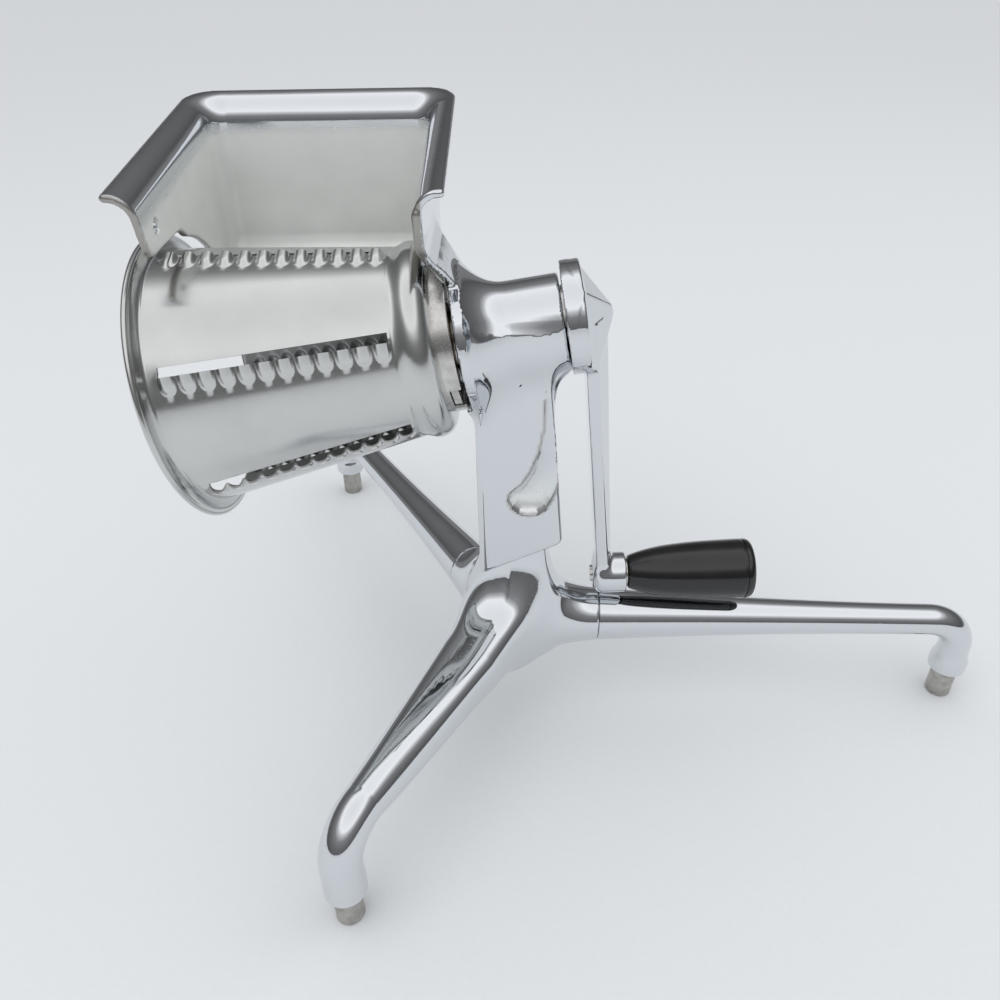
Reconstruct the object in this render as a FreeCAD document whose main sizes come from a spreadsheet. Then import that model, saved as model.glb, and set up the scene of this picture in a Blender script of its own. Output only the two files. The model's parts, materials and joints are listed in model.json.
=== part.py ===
import FreeCAD, Part
import math
import os
import re
from types import SimpleNamespace

import Sketcher
from FreeCAD import Placement, Rotation, Vector

# Rotary shredder on a tripod.  Machine axes: X runs along the drive shaft in plan, from the
# drum's mouth towards the crank, Y runs to the back and Z up.  The shaft crosses the plane
# X = 0 at shaft_height and rises towards the crank by shaft_tilt.  A "station" is a distance
# along the shaft from that crossing.  All lengths are in millimetres, angles in degrees.

SIZES = [
    # shaft and bearings
    ("shaft_height", 190.0, "shaft axis above the floor where it crosses X = 0"),
    ("shaft_tilt", 8.9, "rise of the shaft towards the crank, also the drum's half angle"),
    ("shaft_radius", 6.0, "drive shaft"),
    ("running_clearance", 0.06, "radial clearance of a turning pin or shaft"),
    ("seat_clearance", 0.02, "radial clearance of a pressed bush or stud"),
    ("end_play", 0.1, "axial gap between pieces that turn past each other"),
    ("plate_station", -5.8, "inner face of the bearing plate"),
    ("plate_thickness", 3.8, "bearing plate"),
    ("plate_radius", 26.0, "round part of the bearing plate"),
    ("flare_bend", 0.3, "how far the flare's middle is pulled to its inner corner, 0.5 is straight"),
    ("flare_end", 13.0, "station where the flare meets the straight barrel"),
    ("barrel_radius", 16.5, "bearing barrel"),
    ("barrel_end", 31.7, "station of the barrel's outer end"),
    ("bore_relief", 1.0, "step in the bore between the two bushes"),
    ("bush_radius", 9.0, "outside of both bearing bushes"),
    ("bush_length", 14.0, "sleeve of each bearing bush"),
    ("bush_flange_radius", 12.5, "flange of the front bush"),
    ("bush_flange", 1.2, "thickness of the front bush's flange"),
    ("washer_radius", 12.0, "thrust washers"),
    ("washer_thickness", 0.7, "thrust washers"),
    # hub and drum
    ("hub_thickness", 4.2, "disc of the drive hub"),
    ("hub_radius", 21.2, "disc of the drive hub"),
    ("spigot_radius", 9.8, "hub spigot that centres the drum"),
    ("spigot_length", 4.4, "hub spigot inside the drum"),
    ("lug_width", 9.0, "driving lugs of the hub"),
    ("lug_reach", 26.2, "radius to the tip of a driving lug"),
    ("lug_count", 3.0, "driving lugs"),
    ("collar_radius", 27.0, "outside of the drum's collar"),
    ("collar_gap", 0.4, "clearance between the hub and the drum's collar"),
    ("hub_pin_radius", 1.5, "cross pin of the hub"),
    ("pin_inset", 2.3, "cross pin behind the shaft's nose"),
    ("pin_short", 0.4, "how far the cross pin stays inside the spigot's outline"),
    ("lug_root", 1.0, "overlap of a lug and the hub's disc"),
    ("shaft_chamfer", 0.5, "chamfer on both ends of the shaft"),
    ("collar_play", 0.9, "gap between the drum's collar and the bearing plate"),
    ("collar_floor", 1.6, "collar metal left under a notch"),
    ("collar_edge", 0.6, "rounding of the collar's outer edge"),
    ("rivet_radius", 1.5, "shanks of the collar's rivets"),
    ("rivet_head_radius", 2.6, "heads of the collar's rivets"),
    ("rivet_head_height", 0.9, "heads of the collar's rivets"),
    ("rivet_depth", 4.0, "length of a rivet's shank"),
    ("tooth_tip", 0.5, "root end of a tooth"),
    ("drum_sheet", 1.0, "thickness of the drum's sheet metal"),
    ("drum_end", -12.5, "station of the drum's closed end"),
    ("drum_mouth", -107.5, "station of the drum's open end"),
    ("drum_small_radius", 34.44, "drum body at the end of its teeth"),
    ("teeth_end", -25.2, "station where the rows of teeth end"),
    ("shoulder_radius", 35.5, "rolled shoulder of the closed end"),
    ("shoulder_round", 6.0, "outer rounding of the shoulder"),
    ("rim_radius", 52.5, "outermost bead of the drum's mouth"),
    ("rim_band", 49.3, "raised band inside the bead"),
    ("rim_width", 3.4, "width of the mouth's band and bead"),
    ("bead_width", 2.2, "width of the outer bead"),
    ("row_count", 6.0, "rows of teeth"),
    ("row_angle", 4.5, "turn from the drum's top to the first cutting edge"),
    ("tooth_count", 12.0, "teeth in a row"),
    ("tooth_pitch", 6.3, "spacing of the teeth along a row"),
    ("tooth_radius", 2.5, "cutting end of a tooth"),
    ("tooth_length", 7.6, "length of a tooth around the drum"),
    ("slot_width", 3.4, "slot in front of each row"),
    # hopper
    ("hopper_left", -102.0, "inner face of the hopper's left wall"),
    ("hopper_right", -17.8, "inner face of the hopper's right wall"),
    ("hopper_back", 64.5, "inner face of the hopper's back wall"),
    ("hopper_front", -27.0, "front edge of the side walls at the rim"),
    ("back_lean", 3.6, "lean of the back wall, forwards as it goes down"),
    ("open_margin", 4.0, "spare length of the walls before their front is trimmed"),
    ("side_tip", 15.0, "height of the leaning part of the side walls' front edge"),
    ("side_step", 14.0, "where the side walls go down behind the drum"),
    ("end_room", 1.0, "axial room around the drum's end and rim"),
    ("rim_clearance", 1.5, "radial room around the drum's rim"),
    ("neck_top_half", 22.0, "half the neck's width at the hopper's wall"),
    ("neck_half", 11.0, "half the neck's width at the bearing plate"),
    ("neck_inset", 0.25, "how far the neck's ends are sunk into the walls they meet"),
    ("neck_top_rise", 13.0, "neck's upper end above the side walls' lower edge"),
    ("neck_bend_rise", 5.0, "where the neck leaves the wall, above that edge"),
    ("neck_turn", 2.6, "neck's lower bend in front of the bearing plate"),
    ("neck_turn_rise", 4.5, "neck's lower bend above the bearing plate"),
    ("neck_turn_flare", 2.5, "extra half width of the neck at that bend"),
    ("neck_seat", 3.0, "start of the neck's seat inside the plate's edge"),
    ("neck_end", 8.0, "end of the neck's seat inside the plate's edge"),
    ("hopper_wall", 2.6, "casting thickness of the hopper"),
    ("corner_radius", 8.0, "inner vertical corners of the hopper"),
    ("rim_back_rise", 68.5, "rim above the shaft's height at the back wall"),
    ("rim_corner", 11.0, "outer corners of the rim"),
    ("rim_slope", 6.6, "fall of the rim towards the front"),
    ("rim_bend", 6.0, "inner radius where the wall turns out into the rim"),
    ("rim_reach", 10.3, "how far the rim stands out from the inner face"),
    ("side_rise", 36.5, "lower edge of the side walls above the shaft's height"),
    ("side_lean", 4.5, "how far the front edge leans back towards its lower tip"),
    ("drum_clearance", 3.9, "gap between the drum's sheet and the casting around it"),
    ("ramp_top_rise", 13.0, "where the back wall turns to the drum, above the shaft's height"),
    ("ramp_bottom_rise", -8.0, "the back wall's lower edge, above the shaft's height"),
    ("ramp_inset", 21.0, "how far the lower edge stands in front of the back wall"),
    ("pivot_hole_radius", 2.3, "pusher pivot hole in the left wall"),
    ("pivot_hole_inset", 14.2, "pivot hole behind the side wall's front edge"),
    ("pivot_hole_rise", 43.9, "pivot hole above the shaft's height"),
    # post
    ("post_left", -1.7, "left face of the post"),
    ("post_width_top", 29.0, "post under the barrel"),
    ("post_width_bottom", 34.6, "post at its lower edge"),
    ("post_half_depth", 11.0, "half the post's depth"),
    ("post_bottom", 84.0, "lower edge of the post at its left face"),
    ("post_edge_slope", 25.0, "rise of the post's lower edge towards the right"),
    ("post_round", 3.0, "rounding of the post's upright edges"),
    ("scoop_radius", 13.0, "lower end of the thumb scoop in the post"),
    ("scoop_top_radius", 2.5, "upper end of the thumb scoop"),
    ("scoop_depth", 4.2, "depth of the thumb scoop at its lower end"),
    ("scoop_top_depth", 1.2, "depth of the thumb scoop at its upper end"),
    ("scoop_inset", 24.2, "left face of the post to the middle of the scoop's lower end"),
    ("scoop_top_inset", 29.2, "left face of the post to the middle of the scoop's upper end"),
    ("scoop_bottom_rise", -66.0, "scoop's lower end, above the shaft's height"),
    ("scoop_top_rise", -17.0, "scoop's upper end, above the shaft's height"),
    ("gusset_thickness", 9.0, "rib under the barrel"),
    ("gusset_depth", 15.0, "fall of the rib below the barrel"),
    ("gusset_root", 1.0, "overlap of the rib and the post"),
    ("gusset_top", 5.0, "upper edge of the rib below the shaft's height"),
    ("gusset_end", 4.0, "outer end of the rib inside the barrel"),
    # base
    ("hub_x", 12.0, "centre of the tripod hub"),
    ("tongue_width", 25.5, "tongue that stands in the post"),
    ("tongue_shift", 1.2, "middle of the tongue to the right of the hub's centre"),
    ("web_start", 14.0, "hub centre to the start of a web's hollow curve"),
    ("web_reach", 34.0, "hub centre to the end of a web"),
    ("web_middle_out", 0.3, "middle of a web's hollow curve, as a share of its length"),
    ("web_middle_up", 0.45, "middle of that curve, as a share of its height"),
    ("web_foot", 0.9, "end of a web above the leg's axis, as a share of the leg's radius"),
    ("web_width", 0.8, "a web's width, as a share of the tongue's depth"),
    ("tongue_half_depth", 8.3, "half the tongue's depth"),
    ("tongue_fit", 0.25, "clearance of the tongue in the post"),
    ("tongue_top", 112.0, "upper end of the tongue"),
    ("neck_height", 82.0, "height where the neck starts to flare"),
    ("leg_height", 53.5, "leg axis above the floor at the hub"),
    ("leg_drop", 7.5, "fall of a leg from the hub to its bend"),
    ("leg_reach", 206.5, "hub centre to foot centre, right and rear legs"),
    ("front_reach", 128.0, "hub centre to foot centre, front leg"),
    ("leg_spread", 120.0, "angle between neighbouring legs"),
    ("root_distance", 38.0, "hub centre to the seam of a screwed leg"),
    ("root_radius", 12.1, "leg at its seam"),
    ("flare_radius", 18.5, "leg stub at the hub"),
    ("flare_end_distance", 12.0, "hub centre to the start of a leg's taper"),
    ("root_hollow", 0.45, "radius half way down a leg's root, as a share of its fall"),
    ("front_root_radius", 12.8, "front leg near the hub"),
    ("front_root_place", 0.35, "place of that radius, as a share of the taper"),
    ("front_leg_waist", 10.2, "front leg nearer its bend"),
    ("front_waist_place", 0.75, "place of that radius, as a share of the taper"),
    ("front_leg_radius", 8.0, "front leg before the bend"),
    ("leg_waist", 9.0, "waist of the right and rear legs"),
    ("leg_waist_place", 0.4, "place of the waist, as a share of the straight part"),
    ("leg_radius", 7.1, "right and rear legs before the bend"),
    ("bend_radius", 17.0, "axis radius of a leg's bend"),
    ("leg_end_radius", 8.4, "upright end of a leg"),
    ("leg_end_height", 16.0, "lower end of a leg above the floor"),
    ("peg_radius", 5.6, "foot peg"),
    ("peg_shank_radius", 3.5, "shank of a foot peg inside the leg"),
    ("peg_shank_length", 12.0, "shank of a foot peg inside the leg"),
    ("peg_chamfer", 0.6, "chamfer of a foot peg"),
    ("stud_radius", 4.0, "stud of a screwed leg"),
    ("stud_room", 0.5, "hole left beyond the end of a stud"),
    ("stud_depth", 14.0, "stud inside each of the two pieces it joins"),
    ("screw_radius", 2.5, "screws that hold the tongue in the post"),
    ("screw_head_radius", 4.4, "heads of those screws"),
    ("screw_head_height", 2.6, "heads of those screws"),
    ("screw_height", 103.0, "height of the two screws"),
    ("screw_inset", 9.0, "left face of the post to the first screw"),
    ("screw_spacing", 12.0, "distance between the two screws"),
    ("screw_depth", 11.0, "length of a screw's shank"),
    # crank
    ("boss_radius", 20.3, "round boss of the crank"),
    ("boss_length", 7.2, "straight part of the crank's boss"),
    ("cap_height", 9.4, "faceted cap on the boss"),
    ("cap_half_width", 14.2, "half the width of the cap's base"),
    ("cap_reach", 20.2, "lower edge of the cap's base below the shaft axis"),
    ("cap_ridge", 5.0, "length of the cap's ridge"),
    ("cap_flat", 0.6, "half the width of the cap's ridge"),
    ("blind_depth", 3.5, "shaft inside the crank's cap"),
    ("crank_cant", 3.5, "lean of the arm towards the drum"),
    ("grip_cant", 7.4, "lean of the grip's axis from the shaft's axis"),
    ("crank_clearance", 2.8, "gap between the crank's eye and the right leg's seam under it"),
    ("arm_station", 40.4, "station where the arm's middle meets the shaft axis"),
    ("arm_width_top", 21.0, "arm at the boss"),
    ("arm_width_end", 12.0, "arm at the grip"),
    ("arm_side_top", 4.0, "side wall of the arm at the boss"),
    ("arm_side_end", 5.0, "side wall of the arm at the grip"),
    ("arm_ridge_top", 5.3, "height of the arm's ridge at the boss"),
    ("arm_ridge_end", 1.4, "height of the arm's ridge at the grip"),
    ("eye_radius", 9.0, "eye at the end of the arm"),
    ("eye_back", 4.4, "eye behind the arm's middle"),
    ("eye_front", 10.0, "eye in front of the arm's middle"),
    ("grub_radius", 2.5, "grub screw of the crank"),
    ("spindle_radius", 3.0, "spindle of the grip"),
    ("spindle_washer", 0.6, "washer between the eye and the grip"),
    ("spindle_head_radius", 3.6, "riveted head of the spindle"),
    ("spindle_head", 0.9, "thickness of the riveted head"),
    ("grip_length", 50.0, "grip without its end cap"),
    ("grip_neck_radius", 7.0, "grip beside the eye"),
    ("grip_shoulder_radius", 9.1, "grip at its shoulder"),
    ("grip_shoulder_length", 7.2, "neck to shoulder of the grip"),
    ("grip_middle_radius", 11.8, "grip at its middle"),
    ("grip_radius", 13.15, "grip at its cap"),
    ("grip_middle", 0.48, "place of the middle radius, as a share of the grip's length"),
    ("cap_thickness", 3.9, "end cap of the grip"),
    ("cap_radius", 13.0, "end cap of the grip"),
    ("cap_groove", 0.5, "groove between the grip and its cap"),
    ("cap_rounding_radius", 2.7, "rounding of the cap's edge"),
]

EXPRESSION_FUNCTIONS = ("tan", "sin", "cos", "sqrt")
START_CIRCLE = 50.0  # circle the corners of a sketch start on, before its sizes are bound
START_PLACE = 5.0  # centre of a round sketch, before its sizes are bound
OVERRUN = 1.0  # how far a cutting tool stands out of the face it cuts

document = FreeCAD.newDocument("Shredder")
parts = {}


def make_sheet():
    """Writes every driving size into one spreadsheet and returns the sizes as numbers."""
    sheet = document.addObject("Spreadsheet::Sheet", "Sizes")
    for row, (alias, value, note) in enumerate(SIZES, start=1):
        sheet.set("A%d" % row, alias)
        sheet.set("B%d" % row, str(value))
        sheet.set("C%d" % row, note)
        sheet.setAlias("B%d" % row, alias)
    document.recompute()
    return SimpleNamespace(**{alias: float(sheet.get(alias)) for alias, _, _ in SIZES})


V = make_sheet()


def bound(text):
    """Turns an expression in size names into one that reads the sheet's cells."""
    def cell(match):
        word = match.group(0)
        return word if word in EXPRESSION_FUNCTIONS else "Sizes." + word
    return re.sub(r"[a-z_]\w*", cell, text)


def bind(feature, **expressions):
    """Binds properties of a feature to expressions in the sheet's sizes."""
    for name, text in expressions.items():
        feature.setExpression(name, bound(text))
    return feature


# ---- places ---------------------------------------------------------------------------

TILT = math.radians(V.shaft_tilt)
SPREAD = math.radians(V.leg_spread)

# The part's origin is on the floor under the middle of its bounding box.
BEAD = V.bead_width / 2
LEFT_END = ((V.drum_mouth + BEAD) * math.cos(TILT) - (V.rim_radius - BEAD) * math.sin(TILT)) - BEAD
RIGHT_END = V.hub_x + V.leg_reach + V.leg_end_radius
FRONT_END = -V.front_reach * math.sin(SPREAD) - V.leg_end_radius
BACK_END = V.leg_reach * math.sin(SPREAD) + V.leg_end_radius
ORIGIN = Vector((LEFT_END + RIGHT_END) / 2, (FRONT_END + BACK_END) / 2, 0)

MACHINE = Placement(-ORIGIN, Rotation())
AXIS = Placement(Vector(0, 0, V.shaft_height), Rotation(Vector(0, 1, 0), -V.shaft_tilt))
SHAFT = MACHINE * AXIS
CRANK_TURN = Placement(Vector(V.arm_station, 0, 0), Rotation(Vector(0, 1, 0), V.crank_cant))

# Heights of the casting follow the shaft, and the crank is as long as the leg under it allows.
RIM_BACK = V.shaft_height + V.rim_back_rise
SIDE_BOTTOM = V.shaft_height + V.side_rise
RAMP_TOP = V.shaft_height + V.ramp_top_rise
RAMP_BOTTOM = V.shaft_height + V.ramp_bottom_rise
PIVOT_HEIGHT = V.shaft_height + V.pivot_hole_rise
SCOOP_BOTTOM = V.shaft_height + V.scoop_bottom_rise
SCOOP_TOP = V.shaft_height + V.scoop_top_rise
ARM_HEIGHT = V.shaft_height + V.arm_station * math.sin(TILT)
SEAM_TOP = (V.leg_height - V.leg_drop * V.root_distance / (V.leg_reach - V.bend_radius)
            + V.root_radius)
CRANK_THROW = ((ARM_HEIGHT - SEAM_TOP - V.crank_clearance - V.eye_radius)
               / math.cos(TILT - math.radians(V.crank_cant)))
EYE_TURN = CRANK_TURN * Placement(Vector(0, 0, -CRANK_THROW),
                                  Rotation(Vector(0, 1, 0), V.grip_cant - V.crank_cant))
GRIP = SHAFT * EYE_TURN
LEG_TURNS = {"right": 0.0, "rear": V.leg_spread, "front": -V.leg_spread}
X, Y, Z = Vector(1, 0, 0), Vector(0, 1, 0), Vector(0, 0, 1)


def leg_turn(side):
    """Frame on the floor under the hub, with X along the leg, before the origin's shift."""
    return Placement(Vector(V.hub_x, 0, 0), Rotation(Z, LEG_TURNS[side]))


def station(*terms):
    """Sum of named sizes, a leading minus subtracting, as an expression and as a number."""
    text, value = "0", 0.0
    for term in terms:
        sign, name = ("-", term[1:]) if term.startswith("-") else ("+", term)
        text += " %s %s" % (sign, name)
        value += float(sign + "1") * getattr(V, name)
    return SimpleNamespace(text=text, value=value)


BUSH_FACE = station("plate_station", "-bush_flange")
HUB_FACE = station("plate_station", "-bush_flange", "-washer_thickness", "-end_play", "-end_play")
HUB_BACK = station("plate_station", "-bush_flange", "-washer_thickness", "-end_play", "-end_play",
                   "-hub_thickness")
NOSE = station("plate_station", "-bush_flange", "-washer_thickness", "-end_play", "-end_play",
               "-hub_thickness", "-spigot_length")
BOSS_START = station("barrel_end", "washer_thickness", "end_play", "end_play")
SHAFT_END = station("barrel_end", "washer_thickness", "end_play", "end_play", "boss_length",
                    "blind_depth")
COLLAR_END = station("plate_station", "-collar_play")
GRIP_START = station("eye_front", "spindle_washer", "end_play", "end_play")
GRIP_END = station("eye_front", "spindle_washer", "end_play", "end_play", "grip_length")
CAP_END = station("eye_front", "spindle_washer", "end_play", "end_play", "grip_length",
                  "cap_thickness")


# ---- builders -------------------------------------------------------------------------

def origin_item(body, role):
    return next(item for item in body.Origin.OriginFeatures if item.Role == role)


def outline(body, name, plane, points, offset=None):
    """Closed sketch of straight lines whose corners are bound to the sheet."""
    sketch = body.newObject("Sketcher::SketchObject", name)
    sketch.AttachmentSupport = [(origin_item(body, plane), "")]
    sketch.MapMode = "FlatFace"
    if offset:
        bind(sketch, **{"AttachmentOffset.Base.z": offset})
    count = len(points)
    turn = 2 * math.pi / count
    start = [Vector(math.cos(turn * i), math.sin(turn * i), 0) * START_CIRCLE for i in range(count)]
    for i in range(count):
        sketch.addGeometry(Part.LineSegment(start[i], start[(i + 1) % count]))
    for i in range(count):
        sketch.addConstraint(Sketcher.Constraint("Coincident", i, 2, (i + 1) % count, 1))
    for i, corner in enumerate(points):
        for kind, text, axis, value in (("DistanceX", corner[0], -2, start[i].x),
                                        ("DistanceY", corner[1], -1, start[i].y)):
            if text == "0":
                sketch.addConstraint(Sketcher.Constraint("PointOnObject", i, 1, axis))
                continue
            index = sketch.addConstraint(Sketcher.Constraint(kind, -1, 1, i, 1, value))
            sketch.setExpression("Constraints[%d]" % index, bound(text))
    return sketch


def circle_outline(body, name, plane, at, radius, offset=None):
    """Sketch of one circle whose centre lies on the sketch's horizontal axis."""
    sketch = body.newObject("Sketcher::SketchObject", name + "_outline")
    sketch.AttachmentSupport = [(origin_item(body, plane), "")]
    sketch.MapMode = "FlatFace"
    if offset:
        bind(sketch, **{"AttachmentOffset.Base.z": offset})
    sketch.addGeometry(Part.Circle(X * START_PLACE, Z, 1))
    sketch.addConstraint(Sketcher.Constraint("PointOnObject", 0, 3, -1))
    index = sketch.addConstraint(Sketcher.Constraint("DistanceX", -1, 1, 0, 3, START_PLACE))
    sketch.setExpression("Constraints[%d]" % index, bound(at))
    index = sketch.addConstraint(Sketcher.Constraint("Radius", 0, 1))
    sketch.setExpression("Constraints[%d]" % index, bound(radius))
    return sketch


def turned(label, place, points, axis="H_Axis"):
    """Body turned about the sketch's axis; corners are (station, radius) or (radius, height)."""
    body = document.addObject("PartDesign::Body", label)
    body.Label = label
    turning = body.newObject("PartDesign::Revolution", label + "_turning")
    sketch = outline(body, label + "_outline", "XZ_Plane", points)
    turning.Profile = sketch
    turning.ReferenceAxis = (sketch, [axis])
    turning.Angle = 360
    body.Tip = turning
    body.Placement = place
    document.recompute()
    return body


def ring(label, place, start, end, inner, outer):
    """Turned ring or, with inner "0", a plain disc, between two stations."""
    return turned(label, place, [(start, inner), (start, outer), (end, outer), (end, inner)])


def added(body, name, sketch, length, kind="Pad", reverse=False):
    feature = body.newObject("PartDesign::" + kind, name)
    feature.Profile = sketch
    feature.Reversed = reverse
    bind(feature, Length=length)
    body.Tip = feature
    document.recompute()
    return feature


def repeated(body, feature, count):
    """Repeats a feature of a body around the body's X axis."""
    pattern = body.newObject("PartDesign::PolarPattern", feature.Name + "_pattern")
    pattern.Originals = [feature]
    pattern.Axis = (origin_item(body, "X_Axis"), [""])
    pattern.Angle = 360
    bind(pattern, Occurrences=count)
    body.Tip = pattern
    document.recompute()


def eased(body, name, size, wanted, kind="Fillet"):
    """Fillet or chamfer on the edges of a body for which wanted(edge) is true."""
    tip = body.Tip
    names = ["Edge%d" % (i + 1) for i, edge in enumerate(tip.Shape.Edges) if wanted(edge)]
    feature = body.newObject("PartDesign::" + kind, name)
    feature.Base = (tip, names)
    bind(feature, **{"Radius" if kind == "Fillet" else "Size": size})
    body.Tip = feature
    document.recompute()


def shaped(label, shape, place):
    """Sub-part whose shape is worked out from the sheet's sizes with Part's functions."""
    feature = document.addObject("Part::Feature", label)
    feature.Label = label
    feature.Shape = shape
    feature.Placement = place
    return feature


def keep(item):
    parts[item.Label] = item


def rod(radius, start, end):
    return Part.makeCylinder(radius, (end - start).Length, start, end - start)


def cone(radius, end_radius, start, end):
    return Part.makeCone(radius, end_radius, (end - start).Length, start, end - start)


def face(points):
    return Part.Face(Part.makePolygon(points + points[:1]))


def moved(shape, placement):
    copy = shape.copy()
    copy.Placement = placement * copy.Placement
    return copy


def circle_wire(centre, normal, radius):
    return Part.Wire(Part.makeCircle(radius, centre, normal))


def loft(rings, ruled=False):
    return Part.makeLoft(rings, True, ruled)


def spun(edges, place=Placement()):
    """Solid turned about the X axis from profile edges in the XZ plane."""
    solid = Part.Face(Part.Wire(edges)).revolve(Vector(), X, 360)
    return moved(Part.Solid(solid) if solid.ShapeType == "Shell" else solid, place)


def joined(shapes):
    """Fuses shapes one after another."""
    body = shapes[0]
    for shape in shapes[1:]:
        body = body.fuse(shape)
    return body


def lines(*points):
    """Straight edges through (station, radius) points."""
    corners = [Vector(a, 0, b) for a, b in points]
    return [Part.makeLine(a, b) for a, b in zip(corners, corners[1:])]


def arc(first, middle, last):
    corners = [Vector(a, 0, b) for a, b in (first, middle, last)]
    return Part.Arc(*corners).toShape()


# ---- drive train ----------------------------------------------------------------------

SHAFT_BORE = "shaft_radius + running_clearance"


def make_bushes_and_washers():
    seat = "bush_radius - seat_clearance"
    plate = "plate_station"
    front_end, rear_start = "plate_station + bush_length", "barrel_end - bush_length"
    keep(turned("front_bush", SHAFT, [
        (BUSH_FACE.text, SHAFT_BORE), (BUSH_FACE.text, "bush_flange_radius"),
        (plate, "bush_flange_radius"), (plate, seat), (front_end, seat), (front_end, SHAFT_BORE)]))
    keep(ring("rear_bush", SHAFT, rear_start, "barrel_end", SHAFT_BORE, seat))
    keep(ring("hub_washer", SHAFT, HUB_FACE.text + " + end_play", BUSH_FACE.text + " - end_play",
              SHAFT_BORE, "washer_radius"))
    keep(ring("crank_washer", SHAFT, "barrel_end + end_play",
              "barrel_end + end_play + washer_thickness", SHAFT_BORE, "washer_radius"))


def cross_hole(body, name, at, radius, reach):
    """Round hole through a turned body, square to its axis and along Y."""
    hole = added(body, name, circle_outline(body, name, "XZ_Plane", at, radius), reach, "Pocket")
    hole.Midplane = True
    document.recompute()


PIN_PLACE = NOSE.text + " + pin_inset"


def make_shaft():
    body = ring("drive_shaft", SHAFT, NOSE.text, SHAFT_END.text, "0", "shaft_radius")
    eased(body, "shaft_chamfer", "shaft_chamfer", lambda edge: edge.Closed, "Chamfer")
    cross_hole(body, "pin_hole", PIN_PLACE, "hub_pin_radius + seat_clearance", "4 * shaft_radius")
    keep(body)


LUG_BACK = "drum_end + collar_floor + collar_gap"


def make_hub():
    bore = "shaft_radius + seat_clearance"
    body = turned("drive_hub", SHAFT, [
        (NOSE.text, bore), (NOSE.text, "spigot_radius"), (HUB_BACK.text, "spigot_radius"),
        (HUB_BACK.text, "hub_radius"), (HUB_FACE.text, "hub_radius"), (HUB_FACE.text, bore)])
    half, root = "lug_width / 2", "hub_radius - lug_root"
    sketch = outline(body, "lug_outline", "YZ_Plane", [
        ("-" + half, root), (half, root), (half, "lug_reach"), ("-" + half, "lug_reach")],
        LUG_BACK)
    repeated(body, added(body, "lug", sketch, "%s - (%s)" % (HUB_FACE.text, LUG_BACK)), "lug_count")
    cross_hole(body, "hub_pin_hole", PIN_PLACE, "hub_pin_radius + seat_clearance",
               "4 * spigot_radius")
    keep(body)


def make_hub_pin():
    body = document.addObject("Part::Cylinder", "hub_pin")
    body.Label = "hub_pin"
    bind(body, Radius="hub_pin_radius", Height="2 * (spigot_radius - seat_clearance) - pin_short")
    half = V.spigot_radius - V.seat_clearance - V.pin_short / 2
    middle = Placement(Vector(NOSE.value + V.pin_inset, half, 0), Rotation(X, 90))
    body.Placement = SHAFT * middle
    keep(body)


# ---- drum -----------------------------------------------------------------------------

CONE = math.tan(TILT)


def drum_radius(at):
    """Outer radius of the drum's body; its top line is level."""
    return V.drum_small_radius + (V.teeth_end - at) * CONE


def around(angle):
    """Unit vectors out from the shaft axis and around it, angle from the top to the front."""
    turn = math.radians(angle)
    outward = Vector(0, -math.sin(turn), math.cos(turn))
    return outward, Vector(0, -math.cos(turn), -math.sin(turn))


def drum_shell():
    """Sheet-metal cone with a rolled shoulder and a beaded mouth, turned about the shaft."""
    sheet, end, mouth, large = V.drum_sheet, V.drum_end, V.drum_mouth, V.rim_radius
    flat, shoulder = V.shoulder_radius - V.shoulder_round, end - V.shoulder_round
    turn = V.shoulder_round * (1 - math.sqrt(0.5))
    hole = V.spigot_radius + V.collar_gap / 2
    band = mouth + V.rim_width
    step = band - sheet
    teeth = V.teeth_end + sheet
    bead = BEAD
    inner_turn = (V.shoulder_round - sheet) * (1 - math.sqrt(0.5))
    return spun(
        lines((end, hole), (end, flat))
        + [arc((end, flat), (end - turn, V.shoulder_radius - turn), (shoulder, V.shoulder_radius))]
        + lines((shoulder, V.shoulder_radius), (teeth, V.drum_small_radius - CONE * sheet),
                (band, drum_radius(band)), (step, V.rim_band), (mouth + 2 * bead, V.rim_band),
                (mouth + 2 * bead, large - bead))
        + [arc((mouth + 2 * bead, large - bead), (mouth + bead, large), (mouth, large - bead))]
        + lines((mouth, large - bead), (mouth, V.rim_band - 2 * sheet),
                (step + sheet, drum_radius(band) - sheet), (teeth, V.drum_small_radius - sheet),
                (shoulder, V.shoulder_radius - sheet))
        + [arc((shoulder, V.shoulder_radius - sheet),
               (end - sheet - inner_turn, V.shoulder_radius - sheet - inner_turn),
               (end - sheet, flat))]
        + lines((end - sheet, flat), (end - sheet, hole), (end, hole)))


def tooth_cone(at, angle, mouth_radius, tip_radius, lead):
    """Cone that lies around the drum, from lead before the cutting edge to the tooth's root."""
    radius = drum_radius(at)
    outward, onward = around(angle)
    arc_turn = math.degrees(V.tooth_length / radius)
    tip_outward, _ = around(angle + arc_turn)
    start = outward * (radius - V.drum_sheet / 2) - onward * lead
    end = tip_outward * (radius - V.drum_sheet / 2 - tip_radius / 2)
    return cone(mouth_radius, tip_radius, start + X * at, end + X * at)


RIVET_CIRCLE = SimpleNamespace(text="(hub_radius + collar_gap + collar_radius) / 2",
                               value=(V.hub_radius + V.collar_gap + V.collar_radius) / 2)


def rivet_places():
    """Points on the axes of the collar's rivets, in the plane of station zero."""
    turns = [Rotation(X, 360 / V.lug_count * i) for i in range(int(V.lug_count))]
    return [turn.multVec(Y * RIVET_CIRCLE.value) for turn in turns]


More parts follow.
